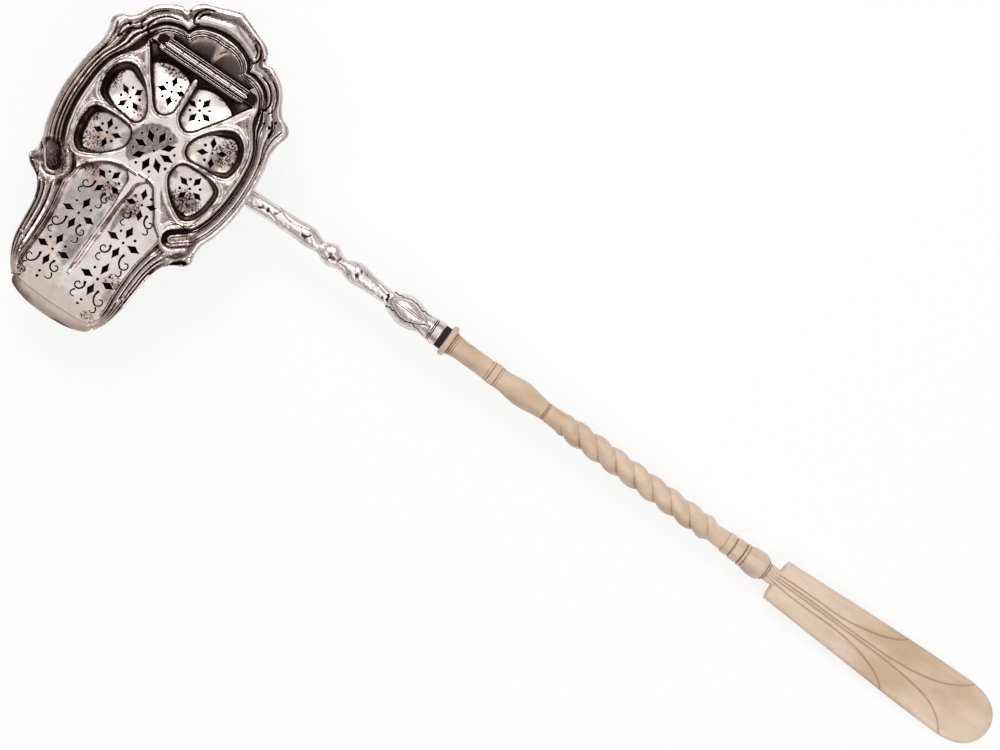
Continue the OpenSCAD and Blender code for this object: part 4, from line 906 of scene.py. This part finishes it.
def stripSkin(size, y0, y1, x, tabs=False):
    across = np.linspace(0, 1, 22)
    tab = ease(np.abs(x), size["half"], size["half"] + 0.3)[:, None]
    front = y0 - (tab * size["tabFront"] if tabs else 0 * tab)
    rear = y1 - 1.1 * np.maximum(np.abs(x) - size["cut"], 0)[:, None]
    yy = front + (rear - front) * across[None]
    groove = np.maximum(bell(across, 0.5, 0.17), np.maximum(bell(across, 0, 0.14), bell(across, 1, 0.14)))[None]
    zz = size["top"] + size["rise"] * (0.5 - groove) * (1 - tab) - 0.35 * tab
    top = np.stack([np.repeat(x[:, None], 22, 1), yy, zz], -1)[:, ::-1]
    low = np.stack([np.repeat(x[:, None], 2, 1), yy[:, [0, -1]], np.full((len(x), 2), size["low"])], -1)
    # painted shade: the strip's sides and grooves darker, and the tabs at the bridge's ends near black
    shadeAndDirt = np.concatenate([np.full((len(x), 2), 0.7), ((0.12 + 0.88 * groove) * (1 - tab) + 1.0 * tab)[:, ::-1]], 1)
    return skin(np.concatenate([low, top], 1), {"paintedShadeAndDirt": shadeAndDirt})


def barrelSkin(size, k, toLeaf):
    x0 = (k - 2.5) * size["knuckle"] + size["gap"] / 2
    x = np.linspace(x0, x0 + size["knuckle"] - size["gap"], 24)[:, None]
    a = np.linspace(0, 2 * math.pi, 48, endpoint=False)[None]
    groove = bell(a, math.pi / 2, 0.22)
    r = size["r"] - 0.2 * groove - 0.12 * (np.arange(24) % 23 == 0)[:, None]
    barrel = np.stack([x + 0 * a, size["y"] + r * np.cos(a), size["z"] + r * np.sin(a)], -1)
    y0, y1 = (size["leaf"][1] - 0.2, size["y"] - 0.3) if toLeaf else (size["y"] + 0.3, size["bridge"][0] + 0.2)
    box = np.array([[y0, size["low"]], [y1, size["low"]], [y1, size["top"] - 0.15], [y0, size["top"] - 0.15]])
    block = np.stack([np.repeat(x, 4, 1), np.tile(box[:, 0], (24, 1)), np.tile(box[:, 1], (24, 1))], -1)
    # painted shade in the barrel's top groove and on its underside, and on the block between barrel and strip
    shadeAndDirt = np.maximum(0.85 * groove, 0.85 * ease(-np.sin(a), -0.6, -0.25))
    return [skin(barrel, {"paintedShadeAndDirt": shadeAndDirt}), skin(block, {"paintedShadeAndDirt": np.full((24, 4), 0.85)})]


def makeHinge(size):
    x = np.linspace(-size["half"], size["half"], 90)
    leaf = [stripSkin(size, *size["leaf"], x)]
    x = np.concatenate([np.linspace(-size["tab"], -size["half"], 12)[:-1], x, np.linspace(size["half"], size["tab"], 12)[1:]])
    bridge = [stripSkin(size, *size["bridge"], x, True)]
    for k in range(5):
        (leaf if k % 2 == 0 else bridge).extend(barrelSkin(size, k, k % 2 == 0))
    place(joinSkins("strainerLeaf", leaf, castSilver, 50), "strainer", ["strainer_leaf"])
    place(joinSkins("hingeBridge", bridge, castSilver, 50), "ladle", ["hinge_bridge"])


makeHinge(hinge)
print("hinge made")


# handle: every piece lies along one line that leaves the bowl's side, is turned a little to the spout and
# droops to the floor. A point (h, y, z) beside that line goes to Rz(-turn) Ry(droop) (h, y, z) + start
handle = {"turn": 1.6, "y": 4.6, "z": 19.6, "lowAt": 344.1, "lowThick": 2.8, "floorGap": 0.05, "bore": 1.55}
sideInner, sideOut, sideWidth = stationParts(borderPath[18:19])
footAt = (sideInner + sideOut * (borderPath[18, 4] * sideWidth + wall)[:, None])[0, 0]
turn = math.radians(handle["turn"])
droop = math.asin((handle["z"] - handle["lowThick"] / 2 - handle["floorGap"]) / (handle["lowAt"] - footAt))


def onHandle(h, y, z):
    x = h * math.cos(droop) + z * math.sin(droop)
    drop = z * math.cos(droop) - h * math.sin(droop)
    return np.stack([x * math.cos(turn) + y * math.sin(turn),
                     y * math.cos(turn) - x * math.sin(turn) + handle["y"] + footAt * math.sin(turn),
                     drop + handle["z"] + footAt * math.sin(droop)], -1)


# a turned piece: the profile (h, r) is walked in even steps, its corners softened by a short moving average,
# and each point becomes the ring (h, r cos a, r sin a) on the handle's line.
# shape(h, a, r) carves the outside and gives extra painted shade, and lean(h) moves the ring's middle sideways. The
# mark is darker where the surface lies below its neighbours: painted shade, and on bone partly stain in the grooves
def turnedPiece(name, node, start, profile, material, mark, step=0.2, sides=96, hollow=False,
                shape=None, lean=None, depth=0.15):
    p = np.asarray(profile, float)
    if hollow:
        p = np.vstack([p, p[:1]])
    walked = np.concatenate([[0], np.cumsum(np.linalg.norm(np.diff(p, axis=0), axis=1))])
    s = np.linspace(0, walked[-1], int(walked[-1] / step) + 1)
    q = np.column_stack([np.interp(s, walked, p[:, k]) for k in (0, 1)])
    if hollow:
        q = q[:-1]
    q = blurred(q, 1, 0, hollow)
    a = np.linspace(0, 2 * math.pi, sides, endpoint=False)[None]
    h, r = q[:, :1] + start + 0 * a, q[:, 1:] + 0 * a
    a = a + 0 * h
    outside = r > handle["bore"] + 0.5
    extra = 0
    if shape:
        carved, extra = shape(h, a, r)
        r = np.where(outside, carved, r)
    low = blurred(blurred(r, 4, 0, hollow), 3, 1, True) - r
    shadeAndDirt = np.where(outside, np.clip(low / depth + extra, 0, 1), 0.4)
    if mark == "stain":
        # painted shade: the turned bone is yellower towards its far side, away from the light
        shadeAndDirt = shadeAndDirt + 0.34 * ease(-np.cos(a), -0.5, 1) * (0.8 + 0.3 * ripple(h, 6 * a, 11))
    side = lean(h) if lean else 0
    ob = skinMesh(name, onHandle(h, r * np.cos(a) + side, r * np.sin(a)), material, {mark: shadeAndDirt}, ring=hollow)
    place(ob, "ladle", [node])


# angle a measured from b, brought to -pi..pi
def angleFrom(a, b):
    return (a - b + math.pi) % (2 * math.pi) - math.pi


# cast stem: a knotted twig. Its radius is a smooth line through the given stations, less the furrows
# between four long facets, plus buds and less pits, each a bell over (h, r times the angle)
stem = {"from": 35.02, "to": 95.0, "furrow": 0.26, "grain": 0.04,
        "radius": [[35, 3.3], [42, 3.2], [50, 3.2], [57, 3.4], [60.5, 3.65], [63, 3.0], [65.4, 2.4], [68, 3.5],
                   [70.5, 4.05], [73, 3.0], [75, 2.3], [77.5, 3.2], [80.5, 4.0], [84, 3.6], [88, 3.1], [92, 2.9],
                   [94.2, 2.85], [95, 2.95]],
        "lean": [[35, -0.3], [41, 0], [47, 0.4], [57, 0.9], [61, 0.85], [64.6, 0.5], [70, 0.35], [75, 0], [81, 0.3],
                 [88, 0.1], [95, 0]],
        # h, angle in degrees from the rear side up, reach and height of each bud
        "buds": [[58.5, 62, 2.4, 0.45], [61, 118, 1.8, 0.4], [69.5, 40, 2.0, 0.5], [71.5, 118, 1.9, 0.55],
                 [81.5, 66, 2.6, 0.5], [80, 130, 1.8, 0.45], [45, 55, 2.6, 0.3], [50, 240, 2.5, 0.5],
                 [72, 260, 2.2, 0.6], [82, 280, 2.4, 0.5], [60, 300, 2.2, 0.5]],
        # h, angle, reach and depth of each pit
        "pits": [[41.2, 96, 1.1, 0.5], [43.4, 92, 0.9, 0.5], [46.3, 84, 0.7, 0.35], [58.6, 106, 1.0, 0.7],
                 [60.2, 82, 0.6, 0.4], [70.2, 98, 1.35, 0.9], [73.2, 74, 0.6, 0.4], [81.1, 98, 0.85, 0.8],
                 [81.8, 70, 0.6, 0.45], [92.4, 121, 0.5, 0.6], [93.8, 76, 0.75, 0.8], [94.4, 114, 0.9, 0.8],
                 [67, 255, 1.0, 0.6], [77, 285, 1.1, 0.6], [52, 270, 1.2, 0.6]]}


def stemShape(h, a, r):
    at = smoothPath(stem["radius"], 6)
    body = np.interp(h, at[:, 0], at[:, 1])
    swing = 0.5 * np.sin(h / 5.2) + 0.25 * np.sin(h / 2.3 + 1)
    facet = 1 - np.abs(np.cos(2 * (a + swing)))
    out = body - stem["furrow"] * facet ** 3 - 0.05 * (1 - np.abs(np.cos(5 * a - swing * 3))) ** 4
    out = out + stem["grain"] * ripple(h + 2.5 * np.sin(a), 4 * np.cos(a) + 2 * np.sin(a), 2.6, 9)
    # painted shade in the furrows and round the buds' rims; the pits are dark with dirt and painted shade
    dark = 0.22 * facet ** 8
    for bh, ba, reach, size in stem["buds"]:
        side = angleFrom(a, math.radians(ba)) * body
        out = out + 0.8 * size * np.exp(-((h - bh) ** 2 + side ** 2) / reach ** 2)
        rim = np.hypot(h - bh, side)
        out = out - 0.07 * bell(rim, reach * 0.95, 0.3) * (np.abs(side) < 4)
        dark = dark + 0.24 * bell(rim, reach * 0.95, 0.22) * (np.abs(side) < 4)
    for ph, pa, reach, deep in stem["pits"]:
        side = angleFrom(a, math.radians(pa)) * body
        around = np.arctan2(side, h - ph)
        ragged = 1 + 0.3 * np.sin(2 * around + ph) + 0.16 * np.sin(3 * around + 2 * ph)
        near = np.exp(-(((h - ph) ** 2 + side ** 2) / (reach * ragged) ** 2) ** 1.5)
        out = out - 0.5 * deep * near
        dark = dark + 0.42 * near
    return out, dark


def stemLean(h):
    at = smoothPath(stem["lean"], 6)
    return np.interp(h, at[:, 0], at[:, 1])


stemLine = [[stem["from"], 0], [stem["from"], 3.3], [stem["to"], 2.95], [stem["to"], 0]]
turnedPiece("silverStem", "silver_stem", 0, stemLine, stemSilver, "paintedShadeAndDirt", sides=128,
            shape=stemShape, lean=stemLean, depth=0.45)
turnedPiece("stemFoot", "stem_foot", footAt, [[1.0, 1.2], [1.0, 3.9], [1.35, 4.1], [1.7, 3.75], [2.1, 3.5],
                                              [2.9, 3.35], [2.9, 1.2]], castSilver, "paintedShadeAndDirt",
            hollow=True)
print("stem made")

# calyx: a long oval leaf on top and one below lie over two side leaves, all drawn in to the ferrule.
# Inside a leaf, q runs from 0 at the midrib to 1 at the edge: height = lift + body (1 - q^2), with a groove beside
# the midrib and a few faint veins
calyx = {"from": 95.0, "length": 16.5, "tilt": -6, "vein": 3.1, "body": 0.5,
         # middle angle, half angle, lift and scallops of the leaves, the lower ones first
         "leaves": [[0, 56, 0.12, 0.1], [180, 56, 0.12, 0.1], [90, 41, 0.5, 0.02], [270, 41, 0.5, 0.02]],
         "radius": [[0, 2.9], [0.08, 3.4], [0.2, 4.4], [0.36, 5.1], [0.5, 5.2], [0.66, 4.7], [0.8, 3.9],
                    [0.9, 3.5], [1, 3.75]]}


def calyxShape(h, a, r):
    t = (h - calyx["from"]) / calyx["length"]
    at = smoothPath(calyx["radius"], 6)
    base = np.interp(t, at[:, 0], at[:, 1]) - 0.35
    lift = np.zeros_like(base)
    dark = np.zeros_like(base)
    inLeaf = np.clip((t - 0.01) / 0.9, 0, 1)
    for middle, half, up, scallop in calyx["leaves"]:
        da = angleFrom(a, math.radians(middle + calyx["tilt"]))
        edge = np.radians(half) * np.maximum(np.sin(math.pi * inLeaf ** 0.9), 0.02) ** 0.6
        q = np.abs(da) / (edge * (1 + scallop * np.sin(2 * math.pi * h / 2.4)))
        side = np.abs(da) * 4.6
        inner = q < 1
        veins = 0.5 + 0.5 * np.cos(2 * math.pi * (h - 1.3 * side) / calyx["vein"])
        leaf = up + calyx["body"] * (1 - q ** 2) - 0.1 * bell(side, 0.3, 0.16) - 0.05 * veins ** 6 * (side > 0.5)
        # painted shade beside the midrib, in the veins, towards the edges and at the base, and dark where a leaf's edge
        # lies over the next
        shade = 0.6 * bell(side, 0.28, 0.16) * (inLeaf < 0.9) + 0.3 * veins ** 10 * (side > 0.6) * (q < 0.8)
        shade = shade + 0.3 * ease(q, 0.9, 1.0) + 0.4 * bell(inLeaf, 0.02, 0.05)
        dark = np.where(inner, shade, dark + 1.3 * bell((q - 1) * edge * 4.6, 0.16, 0.3) * (inLeaf > 0) * (inLeaf < 1))
        lift = np.where(inner, leaf, lift)
    return base + lift, dark


turnedPiece("leafCalyx", "leaf_calyx", 0, [[95.03, 0], [95.03, 2.9], [111.5, 3.7], [111.5, 0]], stemSilver,
            "paintedShadeAndDirt", step=0.13, sides=160, shape=calyxShape, depth=0.6)
print("calyx made")


# hand work on the turned pieces: a slow unevenness of a few hundredths of a millimetre
def slightlyUneven(h, a, r):
    return r + 0.02 * ripple(h + 2 * np.sin(a), 5 * np.cos(a), 7), 0


bore = handle["bore"]
turnedPiece("ferrule", "ferrule", 111.5,
            [[0, bore], [0, 3.8], [0.25, 4.15], [0.85, 4.3], [0.98, 3.95], [1.2, 3.95], [1.3, 4.25], [1.5, 4.25],
             [1.6, 3.95], [1.82, 3.95], [1.95, 4.35], [4.3, 4.45], [4.6, 4.3], [4.75, 3.95], [4.75, bore]],
            raisedSilver, "paintedShadeAndDirt", step=0.08, hollow=True, shape=slightlyUneven)


# twisted cord of the packing ring: r = r0 + 0.13 cos(turns a + h)
def packingRibs(h, a, r):
    return r + 0.13 * np.cos(26 * a + 5 * h), 0


turnedPiece("packingRing", "packing_ring", 116.25,
            [[0, bore], [0, 3.75], [0.25, 4.15], [0.55, 3.85], [0.85, 4.2], [1.2, 3.85], [1.5, 4.15], [1.85, 3.85],
             [2.1, 4.1], [2.25, 3.8], [2.25, bore]], packingMaterial, "paintedShadeAndDirt", step=0.08, sides=160, hollow=True,
            shape=packingRibs)

# bone pieces, profiles from the collar to the end baluster
turnedPiece("boneCollar", "bone_collar", 118.5,
            [[0, bore], [0, 4.9], [0.25, 5.45], [0.7, 5.74], [1.5, 5.74], [1.95, 5.5], [2.2, 4.9], [2.35, 4.05],
             [2.55, 4.05], [2.7, 4.4], [3.0, 4.45], [3.12, 3.9], [3.28, 3.9], [3.4, 4.1], [3.4, bore]],
            boneMaterial, "stain", step=0.08, hollow=True, shape=slightlyUneven)

shankBulge = smoothPath([[20, 3.7], [22.5, 3.85], [25.5, 4.3], [29, 4.55], [32, 4.3], [35, 3.8], [37.5, 3.45],
                         [38.7, 3.32]], 6).tolist()
turnedPiece("upperShank", "upper_shank", 121.9,
            [[15.05, 0], [15.05, bore], [0, bore], [0, 4.0], [0.4, 4.05], [0.7, 3.72], [0.95, 3.88], [1.5, 3.8],
             [3, 3.65], [14.6, 3.62], [15.05, 3.7], [15.25, 3.95], [15.6, 3.95], [15.75, 3.68], [15.95, 3.68],
             [16.1, 3.96], [18.3, 3.96], [18.45, 3.68], [18.65, 3.68], [18.8, 3.95], [19.1, 3.95], [19.3, 3.72]]
            + shankBulge + [[38.75, 2.95], [38.9, 2.95], [39.0, 3.4], [39.3, 3.4], [39.4, 2.95], [39.55, 2.95],
                            [39.6, 3.3], [39.6, bore],
                            [32.55, bore], [32.55, 0]], boneMaterial, "stain", step=0.15, shape=slightlyUneven)

# two-strand twist: the radius over the strands is top - deep (1 - |cos(a - 2 pi h / lead)|)^bend, which eases
# into the plain neck at both ends
twist = {"from": 161.5, "length": 76.4, "top": 4.5, "deep": 1.2, "bend": 1.1, "lead": 15.8, "head": 5.6, "foot": 71.4,
         "phase": 0.0}


def twistShape(h, a, r):
    along = h - twist["from"]
    strand = np.abs(np.cos(a - 2 * math.pi * (along - twist["head"]) / twist["lead"] + twist["phase"]))
    carved = twist["top"] - twist["deep"] * (1 - strand) ** twist["bend"]
    share = ease(along, twist["head"], twist["head"] + 3.2) * (1 - ease(along, twist["foot"] - 3.2, twist["foot"]))
    out = r + (carved - r) * share
    # the valleys between the strands are painted a little darker as shade
    return out + 0.02 * ripple(h + 2 * np.sin(a), 5 * np.cos(a), 7), 0.1 * share * bell(strand, 0, 0.14)


turnedPiece("twistShaft", "twist_shaft", twist["from"],
            [[7.05, 0], [7.05, bore], [0, bore], [0, 3.4], [0.25, 3.4], [0.4, 3.05], [0.55, 3.05], [0.7, 3.3],
             [1.2, 3.3], [4.6, 3.5], [70.4, 3.3], [72, 3.3], [74, 3.45], [75.9, 3.6], [76.2, 3.45], [76.4, 3.6],
             [76.4, bore], [69.35, bore], [69.35, 0]], boneMaterial, "stain", sides=120, shape=twistShape,
            depth=0.7)

endBulge = smoothPath([[8.85, 4.1], [10.4, 4.55], [12.3, 4.92], [14, 4.97], [15.6, 4.75], [16.6, 4.3],
                       [17.1, 3.9]], 6).tolist()
turnedPiece("endBaluster", "end_baluster", 237.9,
            [[7.05, 0], [7.05, bore], [0, bore], [0, 3.35], [0.15, 3.35], [0.3, 3.9], [2.6, 3.98], [2.95, 3.85], [3.2, 3.52],
             [3.45, 3.52], [3.65, 3.95], [4.2, 4.1], [6.6, 4.15], [7.05, 4.05], [7.3, 3.7], [7.55, 3.7],
             [7.75, 4.3], [8.1, 4.42], [8.45, 4.3], [8.65, 4.0]] + endBulge
            + [[17.2, 3.3], [17.35, 3.3], [17.45, 3.75], [17.75, 3.7], [17.85, 3.2], [18, 3.2], [18, bore],
               [10.95, bore], [10.95, 0]],
            boneMaterial, "stain", step=0.15, shape=slightlyUneven)
print("turned handle made")

# paddle: rings (h, u w, v) with u = cos a and v = +-t sqrt(1 - |u|^k). k grows from 2, the round neck, to a flat
# blade with rounded edges; w follows the outline on each side. The carved lines press the upper face down by
# deep exp(-(d / wide)^2)
paddle = {"from": 255.9, "blade": 259.9, "shoulder": 260.7, "tipStart": 336.0, "tip": 352.1, "neck": 3.2,
          "thick": 2.7, "lowThick": 1.4, "flat": 16, "around": 300, "deep": 0.32, "wide": 0.28,
          "upper": [[260.4, 7.4], [275, 8.2], [292, 9.2], [308.4, 10.0], [323, 10.6], [336, 10.9]],
          "lower": [[260.4, 8.1], [275, 8.8], [292, 9.6], [310.5, 10.4], [323, 10.9], [336, 11.1]],
          "lines": [[[256.4, 0.45], [272.8, 0.65], [286.7, 0.5], [302.8, 0.6], [312, 1.1], [318.3, 1.8], [325, 3.2],
                    [330.2, 5], [335.5, 8], [339.5, 11.4]],
                   [[256.4, -0.5], [277.7, -0.45], [296.8, -0.6], [306, -0.8], [315.1, -1.3], [325.2, -2.6],
                    [331.5, -4.8], [336, -8], [338.5, -11.4]],
                   [[256.4, 1.1], [260, 1.5], [266, 1.9], [274, 2.1], [284, 2.2], [290, 2.7], [295, 3.6], [300.5, 4.9],
                    [305.5, 6.7], [308.8, 8.6], [310.8, 10.8]],
                   [[256.4, -1.2], [260, -1.7], [266, -2.2], [272.8, -2.4], [284.9, -2.3], [292, -2.7], [297.8, -3.6],
                    [303, -5], [307.8, -6.8], [311, -8.9], [312.8, -11]]]}


def makePaddle(size):
    tipSteps = 1 - np.cos(np.linspace(0, math.pi / 2, 70))
    h = np.concatenate([np.arange(size["from"], size["blade"] - 0.2, 0.25),
                        np.linspace(size["blade"] - 0.2, size["shoulder"] + 0.1, 16)[:-1],
                        np.arange(size["shoulder"] + 0.1, size["tipStart"], 0.36),
                        size["tipStart"] + (size["tip"] - size["tipStart"]) * np.sin(np.linspace(0, math.pi / 2, 60))])
    blade = ease(h, size["blade"] - 0.2, size["shoulder"])
    square = np.sqrt(np.clip(1 - ((size["shoulder"] - h) / 0.5) ** 2, 0, 1)) * (h > size["shoulder"] - 0.5)
    square = np.where(h >= size["shoulder"], 1, square)
    tipShare = np.clip((h - size["tipStart"]) / (size["tip"] - size["tipStart"]), 0, 1)
    roundTip = (1 - tipShare ** 2.5) ** (1 / 2.1)
    sides = [np.interp(h, *smoothPath(size[k], 6).T) for k in ("upper", "lower")]
    sides = [(size["neck"] + (w - size["neck"]) * square) * roundTip for w in sides]
    fall = np.clip((h - size["blade"]) / (handle["lowAt"] - size["blade"]), 0, 1)
    thick = size["thick"] + (size["lowThick"] - size["thick"]) * fall
    thick = size["neck"] + (thick - size["neck"]) * blade
    thick = thick * (1 - 0.55 * ease(h, 343, size["tip"] + 2)) * np.minimum(1, (1 - tipShare ** 12) ** 0.5 + 0.02)
    power = 2 + (size["flat"] - 2) * blade
    a = np.linspace(0, 2 * math.pi, size["around"], endpoint=False)[None]
    u = np.cos(a)
    v = np.sign(np.sin(a)) * np.sqrt(np.clip(1 - np.abs(u) ** power[:, None], 0, 1)) * thick[:, None]
    y = np.where(u > 0, sides[0][:, None], sides[1][:, None]) * u
    hh = h[:, None] + 0 * a
    cut = np.zeros_like(v)
    for line in size["lines"]:
        cut = np.maximum(cut, bell(lineDistance(hh, y, smoothPath(line, 5)), 0, size["wide"]))
    upper = (v > 0) * np.maximum(blade, 0.7)[:, None] * ease(v, 0, 0.6)
    v = v - size["deep"] * cut * upper + 0.035 * ripple(hh, y, 9) * blade[:, None]
    stain = 0.45 * cut * upper + 0.25 * ease(np.abs(u) + 0 * hh, 0.96, 1) * ripple(hh, y, 14) + 0.08
    neckFace = 0.5 * bell(hh, size["from"], 0.5)
    ob = skinMesh("paddle", onHandle(hh, y, v), boneMaterial, {"stain": np.clip(stain + neckFace, 0, 1)})
    place(ob, "ladle", ["paddle"])
    ob.name = "bonePaddle"


makePaddle(paddle)
print("paddle made")

# nodes that keep their own mesh and take a finish
for node, material in (("border_beads", castSilver), ("hinge_pin", raisedSilver), ("handle_tang", raisedSilver), ("upper_dowel", boneMaterial),
                       ("lower_dowel", boneMaterial), ("paddle_dowel", boneMaterial)):
    for place_ in bpy.data.objects[node].material_slots:
        place_.material = material

# floor, light and camera
studio = {"floorHalf": 3.0, "floorWhite": 0.93, "glow": 0.82, "zenith": 0.97, "horizon": 0.3, "below": 0.45}
eye = {"at": (0.1407, 0.0025, 0.9), "turn": 34.3, "lens": 92.66, "greyReflection": 36.0}


# 1 for rays that should see the plain white ground: from the camera, a mirror or glass
def groundRays(tree):
    path = tree.nodes.new("ShaderNodeLightPath")
    rays = addMath(tree, "MAXIMUM", path.outputs["Is Camera Ray"], path.outputs["Is Glossy Ray"])
    return addMath(tree, "MAXIMUM", rays, path.outputs["Is Transmission Ray"])


def makeFloor():
    half = studio["floorHalf"]
    mesh = bpy.data.meshes.new("floor")
    mesh.from_pydata([(-half, -half, 0), (half, -half, 0), (half, half, 0), (-half, half, 0)], [], [(0, 1, 2, 3)])
    ob = bpy.data.objects.new("floor", mesh)
    bpy.context.scene.collection.objects.link(ob)
    mat, tree, shader = newMaterial("paper")
    shader.inputs["Base Color"].default_value = (studio["floorWhite"],) * 3 + (1,)
    shader.inputs["Roughness"].default_value = 0.9
    glow = tree.nodes.new("ShaderNodeEmission")
    mix = tree.nodes.new("ShaderNodeMixShader")
    out = next(n for n in tree.nodes if n.type == "OUTPUT_MATERIAL")
    tree.links.new(addMath(tree, "MULTIPLY", groundRays(tree), studio["glow"]), mix.inputs["Fac"])
    tree.links.new(shader.outputs["BSDF"], mix.inputs[1])
    tree.links.new(glow.outputs["Emission"], mix.inputs[2])
    tree.links.new(mix.outputs["Shader"], out.inputs["Surface"])
    mesh.materials.append(mat)


# the room: bright above and greyer towards the horizon, so that sloping silver darkens as it turns away
def makeRoom():
    world = bpy.data.worlds.new("room")
    world.use_nodes = True
    bpy.context.scene.world = world
    tree = world.node_tree
    background = tree.nodes["Background"]
    coords = tree.nodes.new("ShaderNodeTexCoord")
    split = tree.nodes.new("ShaderNodeSeparateXYZ")
    tree.links.new(coords.outputs["Generated"], split.inputs["Vector"])
    height = addMath(tree, "ADD", addMath(tree, "MULTIPLY", split.outputs["Z"], 0.5), 0.5)
    height = addMath(tree, "ADD", height, addMath(tree, "MULTIPLY", split.outputs["Y"], 0.06))
    light = addRamp(tree, height, [(0.45, studio["below"]), (0.56, studio["horizon"]), (0.8, studio["horizon"] * 1.25),
                                   (0.97, studio["zenith"])])
    path = tree.nodes.new("ShaderNodeLightPath")
    tree.links.new(addMix(tree, path.outputs["Is Camera Ray"], light, (1.0, 1.0, 1.0)), background.inputs["Color"])


def addSoftbox(name, at, aim, size, power, colour):
    lamp = bpy.data.lights.new(name, "AREA")
    lamp.shape = "RECTANGLE"
    lamp.size, lamp.size_y = size
    lamp.energy = power
    lamp.color = colour
    ob = bpy.data.objects.new(name, lamp)
    ob.location = at
    ob.rotation_euler = (Vector(aim) - Vector(at)).to_track_quat("-Z", "Y").to_euler()
    bpy.context.scene.collection.objects.link(ob)


makeFloor()
makeRoom()
addSoftbox("keyLight", (-0.35, 0.55, 0.85), (0.08, 0, 0), (0.6, 0.45), 5.0, (1.0, 0.97, 0.95))
addSoftbox("fillLight", (0.65, -0.35, 0.8), (0.15, 0, 0), (0.7, 0.4), 2.6, (1.0, 0.96, 0.95))

cameraData = bpy.data.cameras.new("overhead")
cameraData.lens = eye["lens"]
cameraData.sensor_width = eye["greyReflection"]
cameraObject = bpy.data.objects.new("overhead", cameraData)
cameraObject.location = eye["at"]
cameraObject.rotation_euler = (0, 0, math.radians(eye["turn"]))
bpy.context.scene.collection.objects.link(cameraObject)
bpy.context.scene.camera = cameraObject
bpy.context.scene.view_settings.view_transform = "Standard"
print("floor, light and camera set")
